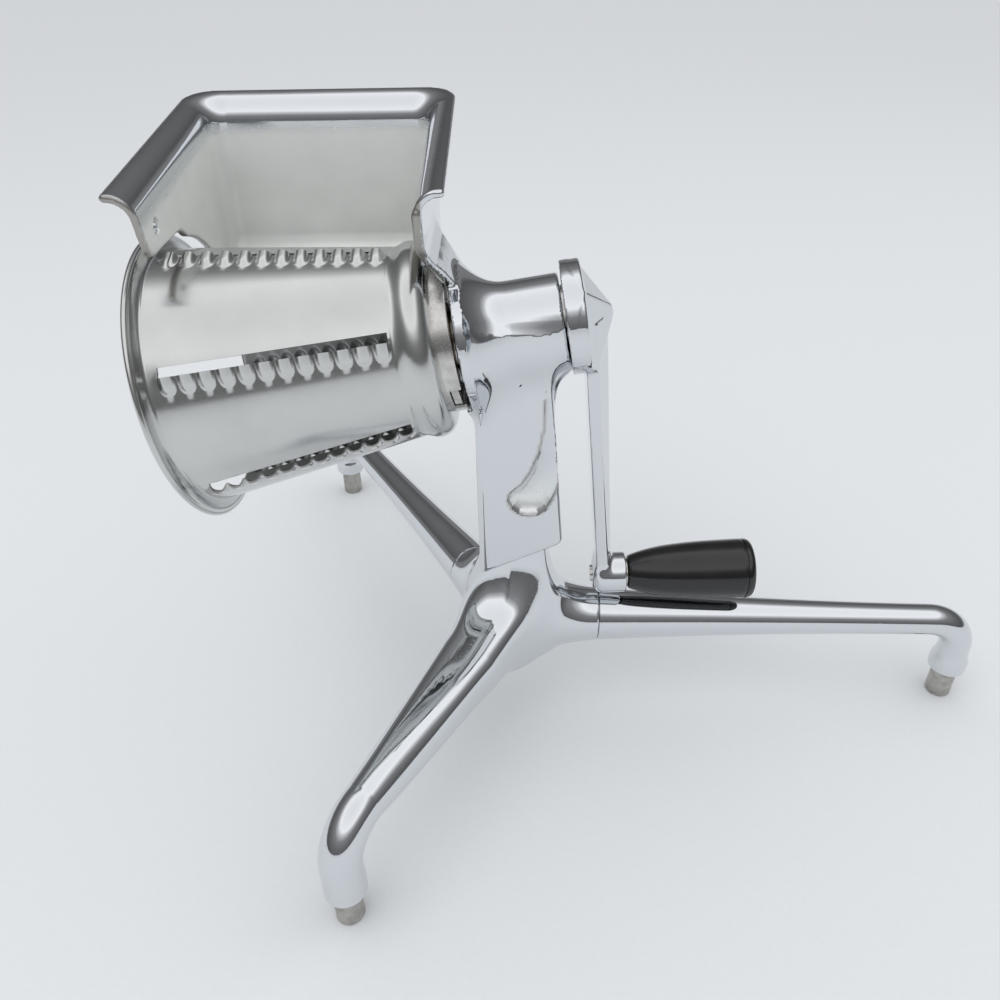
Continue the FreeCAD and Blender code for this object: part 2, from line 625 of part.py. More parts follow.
def make_drum():
    row_step = 360 / V.row_count
    stations = [V.teeth_end - V.tooth_pitch * (i + 0.5) for i in range(int(V.tooth_count))]
    outer, cuts = [], []
    length = V.tooth_pitch * V.tooth_count
    first = V.teeth_end - V.tooth_pitch / 4
    for row in range(int(V.row_count)):
        angle = V.row_angle + row * row_step
        for at in stations:
            outer.append(tooth_cone(at, angle, V.tooth_radius, V.tooth_tip, 0))
            inner = V.tooth_radius - V.drum_sheet
            cuts.append(tooth_cone(at, angle, inner, inner / 4, V.slot_width / 2))
        outward, onward = around(angle)
        reach = drum_radius(first - length) + V.tooth_radius
        slot = face([Vector(first, 0, V.drum_small_radius / 2), Vector(first, 0, reach),
                     Vector(first - length, 0, reach),
                     Vector(first - length, 0, V.drum_small_radius / 2)])
        slot = slot.extrude(Vector(0, V.slot_width, 0))
        cuts.append(moved(slot, Placement(Vector(), Rotation(X, angle))))
    inside, outside = V.drum_end - 2 * V.drum_sheet, V.drum_end + V.drum_sheet
    cuts += [rod(V.rivet_radius + V.seat_clearance, at + X * inside, at + X * outside)
             for at in rivet_places()]
    shell = drum_shell().fuse(outer)
    keep(shaped("drum", shell.cut(cuts).removeSplitter(), SHAFT))


def make_collar():
    inner = "hub_radius + collar_gap"
    body = ring("drum_collar", SHAFT, "drum_end", COLLAR_END.text, inner, "collar_radius")
    eased(body, "collar_rounding", "collar_edge",
          lambda edge: edge.Closed and abs(edge.Curve.Radius - V.collar_radius) < 0.01
          and edge.Curve.Center.x > (V.drum_end + COLLAR_END.value) / 2)
    half = "(lug_width / 2 + collar_gap)"
    bottom, top = "hub_radius - lug_root", "collar_radius + lug_root"
    sketch = outline(body, "notch_outline", "YZ_Plane", [
        ("-" + half, bottom), (half, bottom), (half, top), ("-" + half, top)], COLLAR_END.text)
    depth = COLLAR_END.text + " - drum_end - collar_floor"
    repeated(body, added(body, "notch", sketch, depth, "Pocket"), "lug_count")
    sketch = circle_outline(body, "rivet_hole", "YZ_Plane", RIVET_CIRCLE.text,
                            "rivet_radius + seat_clearance", "drum_end")
    hole = added(body, "rivet_hole", sketch, "rivet_depth - drum_sheet + collar_edge", "Pocket", True)
    repeated(body, hole, "lug_count")
    keep(body)


def make_collar_rivets():
    """Rivets from inside the drum's closed end into the collar, between its notches."""
    inside = V.drum_end - V.drum_sheet
    rivets = []
    for at in rivet_places():
        start = at + X * (inside - V.rivet_head_height)
        head = rod(V.rivet_head_radius, start, at + X * inside)
        rivets.append(head.fuse(rod(V.rivet_radius, start, at + X * (inside + V.rivet_depth))))
    keep(shaped("collar_rivets", Part.makeCompound(rivets), SHAFT))


# ---- crank and grip -------------------------------------------------------------------

def arm_section(share):
    """Section of the arm: flat back, two sides and a ridged front; share 0 is at the boss."""
    width = (V.arm_width_top + (V.arm_width_end - V.arm_width_top) * share) / 2
    side = (V.arm_side_top + (V.arm_side_end - V.arm_side_top) * share) / 2
    ridge = side + V.arm_ridge_top + (V.arm_ridge_end - V.arm_ridge_top) * share
    down = -Z * (CRANK_THROW * share)
    corners = [Vector(-side, -width, 0), Vector(side, -width, 0), Vector(ridge, 0, 0),
               Vector(side, width, 0), Vector(-side, width, 0)]
    return Part.makePolygon([corner + down for corner in corners + corners[:1]])


def make_crank():
    start, face_at = BOSS_START.value, BOSS_START.value + V.boss_length
    boss = rod(V.boss_radius, X * start, X * face_at)

    def rectangle(at, half, low, high):
        corners = [Vector(at, y, z) for y, z in ((-half, low), (-half, high), (half, high), (half, low))]
        return Part.makePolygon(corners + corners[:1])
    top_at, ridge = face_at + V.cap_height, V.cap_ridge / 2
    cap = loft([rectangle(face_at, V.cap_half_width, -V.cap_reach, V.cap_half_width),
                rectangle(top_at, V.cap_flat, -ridge, ridge)], True)
    cap = cap.common(rod(V.boss_radius, X * start, X * (top_at + OVERRUN)))
    arm = moved(loft([arm_section(0), arm_section(1)], True), CRANK_TURN)
    eye = moved(rod(V.eye_radius, -X * V.eye_back, X * V.eye_front), EYE_TURN)
    body = boss.fuse([cap, arm, eye])
    grub_at = X * (start + V.boss_length / 2)
    cuts = [
        rod(V.shaft_radius + V.seat_clearance, X * (start - OVERRUN),
            X * (SHAFT_END.value + V.end_play)),
        rod(V.grub_radius + V.seat_clearance, grub_at, grub_at + Y * (V.boss_radius + OVERRUN)),
        moved(rod(V.spindle_radius + V.seat_clearance, -X * (V.eye_back + OVERRUN),
                  X * (V.eye_front + OVERRUN)), EYE_TURN),
    ]
    keep(shaped("crank_arm", body.cut(cuts).removeSplitter(), SHAFT))


def make_crank_grub():
    at = X * (BOSS_START.value + V.boss_length / 2)
    reach = V.shaft_radius + V.end_play
    keep(shaped("crank_grub_screw", rod(V.grub_radius, at + Y * reach,
                                        at + Y * (V.boss_radius - V.grub_radius / 4)), SHAFT))


def make_spindle():
    """Riveted spindle: fast in the crank's eye, with a head outside the grip's end cap."""
    radius, head = "spindle_radius", "spindle_head_radius"
    tail, tip = "-eye_back", CAP_END.text + " + end_play"
    keep(turned("grip_spindle", GRIP, [
        (tail + " - spindle_head", "0"), (tail + " - spindle_head", head), (tail, head),
        (tail, radius), (tip, radius), (tip, head), (tip + " + spindle_head", head),
        (tip + " + spindle_head", "0")]))
    keep(ring("grip_washer", GRIP, "eye_front + end_play / 2",
              "eye_front + end_play / 2 + spindle_washer", "spindle_radius + running_clearance",
              "spindle_radius * 2"))


def make_grip():
    """Turned grip: narrow neck, quick shoulder and a slow swell towards its cap."""
    start, end = GRIP_START.value, GRIP_END.value
    points = [(start, V.grip_neck_radius), (start + V.grip_shoulder_length, V.grip_shoulder_radius),
              (start + V.grip_length * V.grip_middle, V.grip_middle_radius), (end, V.grip_radius)]
    curve = Part.BSplineCurve()
    curve.interpolate([Vector(a, 0, b) for a, b in points])
    bore = V.spindle_radius + V.running_clearance
    keep(shaped("grip", spun([curve.toShape()] + lines(points[-1], (end, bore), (start, bore),
                                                       points[0])), GRIP))


def make_grip_cap():
    bore, groove = "spindle_radius + running_clearance", "cap_radius - cap_groove"
    start, end = GRIP_END.text, CAP_END.text
    body = turned("grip_cap", GRIP, [
        (start, bore), (start, groove), (start + " + cap_groove", groove),
        (start + " + cap_groove", "cap_radius"), (end, "cap_radius"), (end, bore)])
    eased(body, "cap_rounding", "cap_rounding_radius",
          lambda edge: edge.Closed and abs(edge.Curve.Radius - V.cap_radius) < 0.01
          and edge.Curve.Center.x > CAP_END.value - 0.01)
    keep(body)


# ---- base and legs --------------------------------------------------------------------

LEG_SLOPE = math.atan(V.leg_drop / (V.leg_reach - V.bend_radius))
LEG_LINE = Placement(Vector(0, 0, V.leg_height), Rotation(Y, math.degrees(LEG_SLOPE)))


def leg_axis(distance):
    """Point on the straight part of a leg's axis, in the leg's own frame."""
    return LEG_LINE.multVec(X * (distance / math.cos(LEG_SLOPE)))


def swelling(profile):
    """Round bar about a leg's axis whose radius follows a smooth curve through the profile."""
    points = [Vector(distance / math.cos(LEG_SLOPE), 0, radius) for distance, radius in profile]
    curve = Part.BSplineCurve()
    curve.interpolate(points)
    ends = [Vector(points[-1].x, 0, 0), Vector(points[0].x, 0, 0)]
    corners = [points[-1], *ends, points[0]]
    edges = [Part.makeLine(p, q) for p, q in zip(corners, corners[1:])]
    return spun([curve.toShape(), *edges], LEG_LINE)


def leg_end(reach, radius):
    """Bend from the leg's slope to upright, and the thicker upright end, without its peg hole."""
    flat = reach - V.bend_radius
    centre = leg_axis(flat) - Z * (V.bend_radius / math.cos(LEG_SLOPE))
    outward = Vector(math.sin(LEG_SLOPE), 0, math.cos(LEG_SLOPE))
    along = Vector(math.cos(LEG_SLOPE), 0, -math.sin(LEG_SLOPE))
    start = Part.Face(circle_wire(centre + outward * V.bend_radius, along, radius))
    bend = start.revolve(centre, Y, 90 - math.degrees(LEG_SLOPE))
    knee, foot = Vector(reach, 0, centre.z), Vector(reach, 0, V.leg_end_height)
    taper = Vector(reach, 0, V.leg_end_height + V.peg_shank_length / 2)
    straight = cone(radius, V.leg_end_radius, knee, taper)
    return [bend, straight, rod(V.leg_end_radius, foot, taper)]


def peg_hole(reach):
    foot = Vector(reach, 0, V.leg_end_height)
    return rod(V.peg_shank_radius + V.seat_clearance, foot - Z * OVERRUN,
               foot + Z * V.peg_shank_length)


def bend_start(reach):
    """Distance from the hub's centre to the start of a leg's bend."""
    return reach - V.bend_radius + V.bend_radius * math.sin(LEG_SLOPE)


def stud_hole(sign):
    """Hole for a leg's stud on one side of the seam, in the leg's own frame."""
    depth = sign * (V.stud_depth + V.stud_room)
    return rod(V.stud_radius + V.seat_clearance, leg_axis(V.root_distance - sign * OVERRUN),
               leg_axis(V.root_distance + depth))


def make_legs():
    reach, root = V.leg_reach, V.root_distance
    start = bend_start(reach)
    for side in ("right", "rear"):
        waist = root + (start - root) * V.leg_waist_place
        straight = swelling([(root, V.root_radius), (waist, V.leg_waist), (start, V.leg_radius)])
        leg = straight.fuse(leg_end(reach, V.leg_radius)).cut([stud_hole(1), peg_hole(reach)])
        keep(shaped(side + "_leg", leg.removeSplitter(), MACHINE * leg_turn(side)))


def make_studs_and_pegs():
    ends = [leg_axis(V.root_distance + sign * V.stud_depth) for sign in (-1, 1)]
    for side in ("right", "rear"):
        stud = rod(V.stud_radius, *ends)
        keep(shaped(side + "_leg_stud", stud, MACHINE * leg_turn(side)))
    for side in LEG_TURNS:
        reach = "front_reach" if side == "front" else "leg_reach"
        place = MACHINE * leg_turn(side) * Placement(X * getattr(V, reach), Rotation())
        shank_top = "leg_end_height + peg_shank_length - seat_clearance"
        peg = turned(side + "_foot_peg", place, [
            ("0", "0"), ("peg_radius", "0"), ("peg_radius", "leg_end_height"),
            ("peg_shank_radius", "leg_end_height"), ("peg_shank_radius", shank_top),
            ("0", shank_top)], "V_Axis")
        eased(peg, side + "_peg_chamfer", "peg_chamfer",
              lambda edge: edge.Closed and edge.Curve.Center.z < 0.01, "Chamfer")
        keep(peg)


def leg_root(side):
    """Trumpet-shaped root of a leg and the web above it."""
    middle = (V.flare_end_distance + V.root_distance) / 2
    profile = [(V.flare_end_distance, V.flare_radius),
               (middle, V.root_radius + (V.flare_radius - V.root_radius) * V.root_hollow),
               (V.root_distance, V.root_radius)]
    hub = rod(V.flare_radius, leg_axis(0), leg_axis(V.flare_end_distance))
    root = hub.fuse(swelling(profile))
    start, foot = leg_axis(0), leg_axis(V.web_reach)
    crest = Vector(V.web_start, 0, V.neck_height)
    low = foot + Z * V.root_radius * V.web_foot
    middle = Vector(crest.x + (low.x - crest.x) * V.web_middle_out, 0,
                    low.z + (crest.z - low.z) * V.web_middle_up)
    wall = Part.Face(Part.Wire([
        Part.makeLine(start, Vector(0, 0, V.neck_height)),
        Part.makeLine(Vector(0, 0, V.neck_height), crest),
        Part.Arc(crest, middle, low).toShape(), Part.makeLine(low, foot),
        Part.makeLine(foot, start)]))
    half = V.tongue_half_depth * V.web_width
    web = moved(wall, Placement(Vector(0, -half, 0), Rotation())).extrude(Y * (2 * half))
    return [moved(shape, leg_turn(side)) for shape in (root, web)]


def make_base():
    """Tripod hub cast in one with its front leg and the tongue that carries the post."""
    tongue_left = V.hub_x + V.tongue_shift - V.tongue_width / 2
    tongue = Part.makeBox(V.tongue_width, 2 * V.tongue_half_depth, V.tongue_top - V.leg_height,
                          Vector(tongue_left, -V.tongue_half_depth, V.leg_height))
    pieces = [piece for side in LEG_TURNS for piece in leg_root(side)]
    pieces.append(Part.makeSphere(V.flare_radius, Vector(V.hub_x, 0, V.leg_height)))
    reach, root = V.front_reach, V.flare_end_distance
    start = bend_start(reach)
    taper = start - root
    front = swelling([(root, V.flare_radius),
                      (root + taper * V.front_root_place, V.front_root_radius),
                      (root + taper * V.front_waist_place, V.front_leg_waist),
                      (start, V.front_leg_radius)])
    pieces += [moved(piece, leg_turn("front"))
               for piece in [front, *leg_end(reach, V.front_leg_radius)]]
    body = joined([tongue, *pieces])
    cuts = [moved(stud_hole(-1), leg_turn(side)) for side in ("right", "rear")]
    cuts.append(moved(peg_hole(reach), leg_turn("front")))
    cuts += [rod(V.screw_radius + V.seat_clearance, at, at + Y * (V.post_half_depth * 2))
             for at in screw_places(V.post_half_depth - V.screw_depth)]
    keep(shaped("base_casting", body.cut(cuts).removeSplitter(), MACHINE))


def screw_places(y):
    """Axis points of the two post screws at a depth y."""
    left = V.post_left + V.screw_inset
    return [Vector(left + i * V.screw_spacing, y, V.screw_height) for i in range(2)]


def make_post_screws():
    screws = []
    for at in screw_places(0):
        seat = at + Y * V.post_half_depth
        shank = rod(V.screw_radius, seat - Y * V.screw_depth, seat)
        screws.append(shank.fuse(rod(V.screw_head_radius, seat, seat + Y * V.screw_head_height)))
    keep(shaped("post_screws", Part.makeCompound(screws), MACHINE))


# ---- hopper, bearing and post, cast in one --------------------------------------------

RIM_FALL = math.tan(math.radians(V.rim_slope))
BACK_LEAN = math.tan(math.radians(V.back_lean))


def rim_height(y):
    """Height of the rim's top face above the floor at a depth y."""
    return RIM_BACK - (V.hopper_back - y) * RIM_FALL


def hopper_ring(depth, offset, corner):
    """Plan outline of the hopper at a depth below the rim, open side squared off in front.

    offset is how far the outline stands outside the inner faces.
    """
    left, right = V.hopper_left - offset, V.hopper_right + offset
    back, front = V.hopper_back + offset - depth * BACK_LEAN, V.hopper_front - V.open_margin
    bend = corner * (1 - math.sqrt(0.5))

    def at(x, y):
        return Vector(x, y, rim_height(y) - depth)
    return Part.Wire([
        Part.makeLine(at(left, front), at(left, back - corner)),
        Part.Arc(at(left, back - corner), at(left + bend, back - bend),
                 at(left + corner, back)).toShape(),
        Part.makeLine(at(left + corner, back), at(right - corner, back)),
        Part.Arc(at(right - corner, back), at(right - bend, back - bend),
                 at(right, back - corner)).toShape(),
        Part.makeLine(at(right, back - corner), at(right, front)),
        Part.makeLine(at(right, front), at(left, front))])


def hopper_walls():
    """U-shaped wall whose rim bends outwards into a flange, before it is trimmed."""
    wall, bend, corner = V.hopper_wall, V.rim_bend, V.corner_radius
    outer_bend = bend + wall
    low = RIM_BACK - RAMP_BOTTOM + outer_bend
    steps = 5
    inner = [hopper_ring(low, 0, corner)]
    outer = [hopper_ring(low, wall, corner + wall)]
    for i in range(steps + 1):
        turn = math.pi / 2 * i / steps
        depth, out = outer_bend * (1 - math.sin(turn)), outer_bend * (1 - math.cos(turn))
        inner.append(hopper_ring(depth, out, corner + out))
        depth, out = outer_bend - bend * math.sin(turn), outer_bend - bend * math.cos(turn)
        outer.append(hopper_ring(depth, out, corner + out))
    inner.append(hopper_ring(-wall, outer_bend, corner + outer_bend))
    flange = Part.Face(hopper_ring(wall, V.rim_reach, V.rim_corner)).extrude(Z * wall)
    return loft(outer, True).fuse(flange).cut(loft(inner, True))


def hopper_side_trim():
    """Prism of the hopper's side view: leaning front edge, level lower edge, sloping back."""
    back = V.hopper_back + V.rim_reach
    ramp_back = V.hopper_back + V.hopper_wall
    inset = V.ramp_inset
    points = [(V.hopper_front, RIM_BACK + V.rim_bend),
              (V.hopper_front, SIDE_BOTTOM + V.side_tip),
              (V.hopper_front + V.side_lean, SIDE_BOTTOM), (0, SIDE_BOTTOM),
              (V.side_step, SIDE_BOTTOM - V.side_step / 2), (V.side_step, RAMP_BOTTOM),
              (ramp_back - inset, RAMP_BOTTOM), (ramp_back, RAMP_TOP),
              (back, RAMP_TOP), (back, RIM_BACK + V.rim_bend)]
    left = V.hopper_left - V.rim_reach
    prism = face([Vector(left, y, z) for y, z in points])
    return prism.extrude(X * (V.hopper_right + V.rim_reach - left))


def hopper_ramp():
    """Slanted lower part of the back wall that leads the food to the drum."""
    wall, inset = V.hopper_wall, V.ramp_inset
    lean = (RIM_BACK - RAMP_TOP) * BACK_LEAN
    top, bottom = V.hopper_back - lean, V.hopper_back - inset
    points = [(top, RAMP_TOP + wall), (top + wall, RAMP_TOP + wall), (top + wall, RAMP_TOP),
              (bottom + wall, RAMP_BOTTOM), (bottom, RAMP_BOTTOM), (top, RAMP_TOP)]
    left = V.hopper_left - wall
    return face([Vector(left, y, z) for y, z in points]).extrude(
        X * (V.hopper_right + wall - left))


def drum_room():
    """Room for the turning drum: a cone clear of its teeth and a disc clear of its rim."""
    end, band = V.drum_end + V.end_room, V.drum_mouth + V.rim_width + V.end_room
    far = V.drum_mouth - V.rim_width
    gap, rim = V.drum_clearance, V.rim_radius + V.rim_clearance
    return spun(lines((end, 0), (end, drum_radius(end) + gap), (band, drum_radius(band) + gap),
                      (band, rim), (far, rim), (far, 0), (end, 0)), AXIS)


def neck():
    """Curved strap from the hopper's right wall over the drum's end to the bearing plate."""
    left, wall = V.hopper_right, V.hopper_wall
    inset = V.neck_inset

    def section(frame, x, thick, height, half):
        corners = [Vector(x, -half, height), Vector(x + thick, -half, height),
                   Vector(x + thick, half, height), Vector(x, half, height)]
        corners = [frame.multVec(corner) for corner in corners]
        return Part.makePolygon(corners + corners[:1])
    level = Placement()
    plate, thick = V.plate_station + inset, V.plate_thickness - 2 * inset
    rings = [section(level, left + inset, wall - 2 * inset, SIDE_BOTTOM + V.neck_top_rise,
                     V.neck_top_half),
             section(level, left + inset, wall - inset, SIDE_BOTTOM + V.neck_bend_rise,
                     V.neck_top_half),
             section(AXIS, plate - V.neck_turn, V.plate_thickness,
                     V.plate_radius + V.neck_turn_rise, V.neck_half + V.neck_turn_flare),
             section(AXIS, plate, thick, V.plate_radius - V.neck_seat, V.neck_half),
             section(AXIS, plate, thick, V.plate_radius - V.neck_end, V.neck_half)]
    return loft(rings)


def bearing():
    """Plate, flare and barrel turned about the shaft, with a seat for a bush at each end."""
    start, plate, end = V.plate_station, V.plate_station + V.plate_thickness, V.barrel_end
    seat, relief = V.bush_radius, V.bush_radius - V.bore_relief
    middle = (plate + (V.flare_end - plate) * V.flare_bend,
              V.barrel_radius + (V.plate_radius - V.barrel_radius) * V.flare_bend)
    first, last = start + V.bush_length, end - V.bush_length
    return spun(
        lines((start, seat), (start, V.plate_radius), (plate, V.plate_radius))
        + [arc((plate, V.plate_radius), middle, (V.flare_end, V.barrel_radius))]
        + lines((V.flare_end, V.barrel_radius), (end, V.barrel_radius), (end, seat), (last, seat),
                (last, relief), (first, relief), (first, seat), (start, seat)), AXIS)


def post():
    """Post under the barrel with a slanted lower edge, and the rib beside it."""
    left, half = V.post_left, V.post_half_depth
    top = V.shaft_height - V.barrel_radius / 2
    right_low = left + V.post_width_bottom
    low = V.post_bottom + V.post_width_bottom * math.tan(math.radians(V.post_edge_slope))
    corners = [(left, V.post_bottom), (right_low, low),
               (left + V.post_width_top, V.shaft_height - V.barrel_radius),
               (left + V.post_width_top, top), (left, top)]
    body = face([Vector(x, -half, z) for x, z in corners]).extrude(Y * (2 * half))
    upright = [edge for edge in body.Edges if abs(edge.Vertexes[0].Y - edge.Vertexes[-1].Y) < 0.01
               and abs(edge.Vertexes[0].Z - edge.Vertexes[-1].Z) > V.post_width_bottom]
    body = body.makeFillet(V.post_round, upright)
    right = left + V.post_width_top - V.gusset_root
    end, rib_top = V.barrel_end * math.cos(TILT), V.shaft_height - V.gusset_top
    under = V.shaft_height - V.barrel_radius
    points = [(right, under - V.gusset_depth), (right, rib_top), (end, rib_top),
              (end, under + V.gusset_end)]
    rib = face([Vector(x, -V.gusset_thickness / 2, z) for x, z in points])
    rib = rib.extrude(Y * V.gusset_thickness)
    return body.fuse(rib)


def thumb_scoop():
    """Fluted hollow in the post's front that widens downwards to a rounded end."""
    front = -V.post_half_depth
    top = Vector(V.post_left + V.scoop_top_inset,
                 front - V.scoop_top_radius + V.scoop_top_depth, SCOOP_TOP)
    low = Vector(V.post_left + V.scoop_inset, front - V.scoop_radius + V.scoop_depth, SCOOP_BOTTOM)
    return cone(V.scoop_top_radius, V.scoop_radius, top, low).fuse(
        Part.makeSphere(V.scoop_radius, low))


def tongue_socket():
    """Pocket in the post that the tongue fills, open at the slanted lower edge."""
    fit = V.tongue_fit
    left = V.hub_x + V.tongue_shift - V.tongue_width / 2 - fit
    depth = V.tongue_half_depth + fit
    return Part.makeBox(V.tongue_width + 2 * fit, 2 * depth,
                        V.tongue_top + fit - V.post_bottom + OVERRUN,
                        Vector(left, -depth, V.post_bottom - OVERRUN))


def make_body():
    """Hopper, bearing and post: one casting."""
    shell = hopper_walls().common(hopper_side_trim()).fuse(hopper_ramp())
    body = shell.cut(drum_room()).fuse([neck(), bearing(), post()])
    inner, outer = V.plate_station - OVERRUN, V.barrel_end + OVERRUN
    bores = [(V.bush_radius - V.bore_relief, inner, outer),
             (V.bush_radius, inner, V.plate_station + V.bush_length),
             (V.bush_radius, V.barrel_end - V.bush_length, outer)]
    cuts = [rod(radius, AXIS.multVec(X * a), AXIS.multVec(X * b)) for radius, a, b in bores]
    pivot = Vector(V.hopper_left - V.rim_reach, V.hopper_front + V.pivot_hole_inset,
                   PIVOT_HEIGHT)
    cuts += [thumb_scoop(), tongue_socket(),
             rod(V.pivot_hole_radius, pivot, pivot + X * (V.rim_reach * 2))]
    cuts += [rod(V.screw_radius + V.seat_clearance, at, at + Y * V.post_half_depth)
             for at in screw_places(V.post_half_depth / 2)]
    keep(shaped("body_casting", body.cut(cuts).removeSplitter(), MACHINE))


for make in (make_bushes_and_washers, make_shaft, make_hub, make_hub_pin, make_drum, make_collar,
             make_collar_rivets, make_crank, make_crank_grub, make_spindle, make_grip,
             make_grip_cap, make_legs, make_studs_and_pegs, make_base, make_post_screws,
             make_body):
    make()


def export_parts():
    """Checks every object and sub-part, then writes each sub-part's solids to its own file."""
    document.recompute()
    for item in document.Objects:
        if "Invalid" in item.State or "Error" in item.State:
            raise RuntimeError("%s is %s" % (item.Label, item.State))
    os.makedirs("parts", exist_ok=True)
    for label, item in parts.items():
        if item.Shape.isNull() or not item.Shape.isValid() or item.Shape.Volume <= 0:
            raise RuntimeError("%s has no valid shape" % label)
    for label, item in parts.items():
        item.Shape.exportStep("parts/%s.step" % label)


export_parts()
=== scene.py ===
import json
import math

import bmesh
import bpy
import numpy as np
from mathutils import Matrix, Vector


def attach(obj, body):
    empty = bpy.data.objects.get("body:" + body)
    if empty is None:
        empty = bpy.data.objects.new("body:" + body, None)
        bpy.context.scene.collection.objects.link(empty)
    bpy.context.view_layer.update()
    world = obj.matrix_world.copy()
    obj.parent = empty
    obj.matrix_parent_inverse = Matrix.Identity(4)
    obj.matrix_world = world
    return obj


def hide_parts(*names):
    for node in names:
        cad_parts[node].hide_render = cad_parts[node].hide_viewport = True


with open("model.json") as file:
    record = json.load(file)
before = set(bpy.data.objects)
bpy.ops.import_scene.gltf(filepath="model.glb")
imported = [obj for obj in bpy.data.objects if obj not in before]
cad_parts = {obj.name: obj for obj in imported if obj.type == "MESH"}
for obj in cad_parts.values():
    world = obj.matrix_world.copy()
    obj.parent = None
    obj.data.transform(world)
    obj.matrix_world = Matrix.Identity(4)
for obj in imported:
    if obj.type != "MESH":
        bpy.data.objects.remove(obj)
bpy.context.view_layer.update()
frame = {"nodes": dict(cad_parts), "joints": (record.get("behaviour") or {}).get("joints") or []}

# A rotary shredder: a chromed hopper, bearing and post on a tripod, a steel drum and a crank.
# Shapes are worked out in millimetres in the machine's own axes: X runs along the drive shaft
# in plan towards the crank, Y to the back, Z up, with zero on the floor where the shaft is
# SHAFT_HEIGHT high.  A station is a distance along the shaft from there.

MM = 0.001
SHAFT_HEIGHT = 190.0
SHAFT_TILT = math.radians(8.9)
CRANK_TURN = next(joint for joint in frame["joints"] if joint["name"] == "crank_turn")
ORIGIN = np.array([0, 0, SHAFT_HEIGHT]) - np.array(CRANK_TURN["pos_m"]) / MM

# hopper
HOPPER_LEFT, HOPPER_RIGHT = -102.0, -17.8
HOPPER_BACK, HOPPER_FRONT = 64.5, -27.0
HOPPER_MIDDLE, HOPPER_HALF = (HOPPER_LEFT + HOPPER_RIGHT) / 2, (HOPPER_RIGHT - HOPPER_LEFT) / 2
HOPPER_WALL = 2.6
CORNER_RADIUS = 6.5
RIM_BACK = 258.5
RIM_SLOPE = math.radians(6.6)
BACK_LEAN = math.tan(math.radians(3.6))
RIM_BEND = 6.0
RIM_REACH = 10.3
RIM_CORNER = 12.0
SIDE_BOTTOM = 226.5
SIDE_TIP = 15.0
SIDE_LEAN = 4.5
SIDE_STEP = 14.0
RAMP_TOP, RAMP_BOTTOM = 203.0, 182.0
RAMP_INSET = 21.0
CAST_EDGE = 1.1
PIVOT_HOLE = (-12.8, 233.9, 2.3)
DRUM_ROOM = 3.9

# bearing and post
PLATE_START, PLATE_END, PLATE_RADIUS = -5.8, -2.0, 26.0
FLARE_END, BARREL_END, BARREL_RADIUS = 13.0, 31.7, 16.5
FLARE_POWER = 2.3
BUSH_RADIUS = 9.0
POST_LEFT, POST_RIGHT_TOP, POST_RIGHT_LOW = -1.7, 27.3, 32.9
POST_TOP, POST_LOW = 173.5, 100.0
POST_BOTTOM, POST_SLOPE = 84.0, math.radians(25)
POST_HALF, POST_ROUND = 11.0, 3.0
RIB_LEFT, RIB_RIGHT, RIB_HALF, RIB_FOOT, RIB_TOP = 20.0, 31.5, 4.5, 158.5, 176.0
TONGUE_LEFT, TONGUE_RIGHT, TONGUE_HALF = 0.45, 25.95, 8.3
TONGUE_TOP, TONGUE_BOTTOM, TONGUE_ROUND, TONGUE_FIT = 112.0, 44.0, 1.8, 0.25
SCREW_PLACES, SCREW_HEIGHT, SCREW_RADIUS = (7.3, 19.3), 103.0, 2.5

# base and legs
HUB_X, LEG_HEIGHT = 12.0, 53.5
LEG_REACH, FRONT_REACH, LEG_BEND = 206.5, 128.0, 17.0
LEG_SLOPE = math.atan(7.5 / (LEG_REACH - LEG_BEND))
LEG_TURNS = {"right": 0.0, "rear": 120.0, "front": -120.0}
ROOT_DISTANCE, ROOT_RADIUS, MIDDLE_RADIUS = 38.0, 12.1, 15.5
LEG_PLACES, LEG_RADII = (ROOT_DISTANCE, 99.0, 190.0), (ROOT_RADIUS, 9.0, 7.1)
FRONT_PLACES, FRONT_RADII = (12.0, 44.0, 80.0, 111.7), (17.4, 13.2, 10.6, 8.2)
ROOT_PLACES, ROOT_RADII = (0.0, ROOT_DISTANCE), (14.5, ROOT_RADIUS)
HORN_LENGTH = 24.0
LEG_END_RADIUS, LEG_END_HEIGHT = 8.4, 16.0
PEG_TOP, PEG_BORE = 28.0, 3.52
STUD_DEPTH, STUD_BORE = 14.5, 4.02

# drum
DRUM_END, DRUM_MOUTH, DRUM_SHEET = -12.5, -107.5, 1.0
TEETH_END, DRUM_SMALL = -25.2, 34.44
SHOULDER_RADIUS, SHOULDER_ROUND, DRUM_HOLE = 35.5, 6.0, 10.0
RIM_RADIUS, RIM_WIDTH, BEAD = 52.5, 3.4, 1.1
ROWS, ROW_ANGLE = 6, math.radians(4.5)
TEETH, TOOTH_PITCH, TOOTH_LENGTH, SLOT_WIDTH = 12, 6.3, 6.4, 3.4
TOOTH_HALF, TOOTH_HEIGHT, LIP_HEIGHT = 2.9, 2.1, 0.6

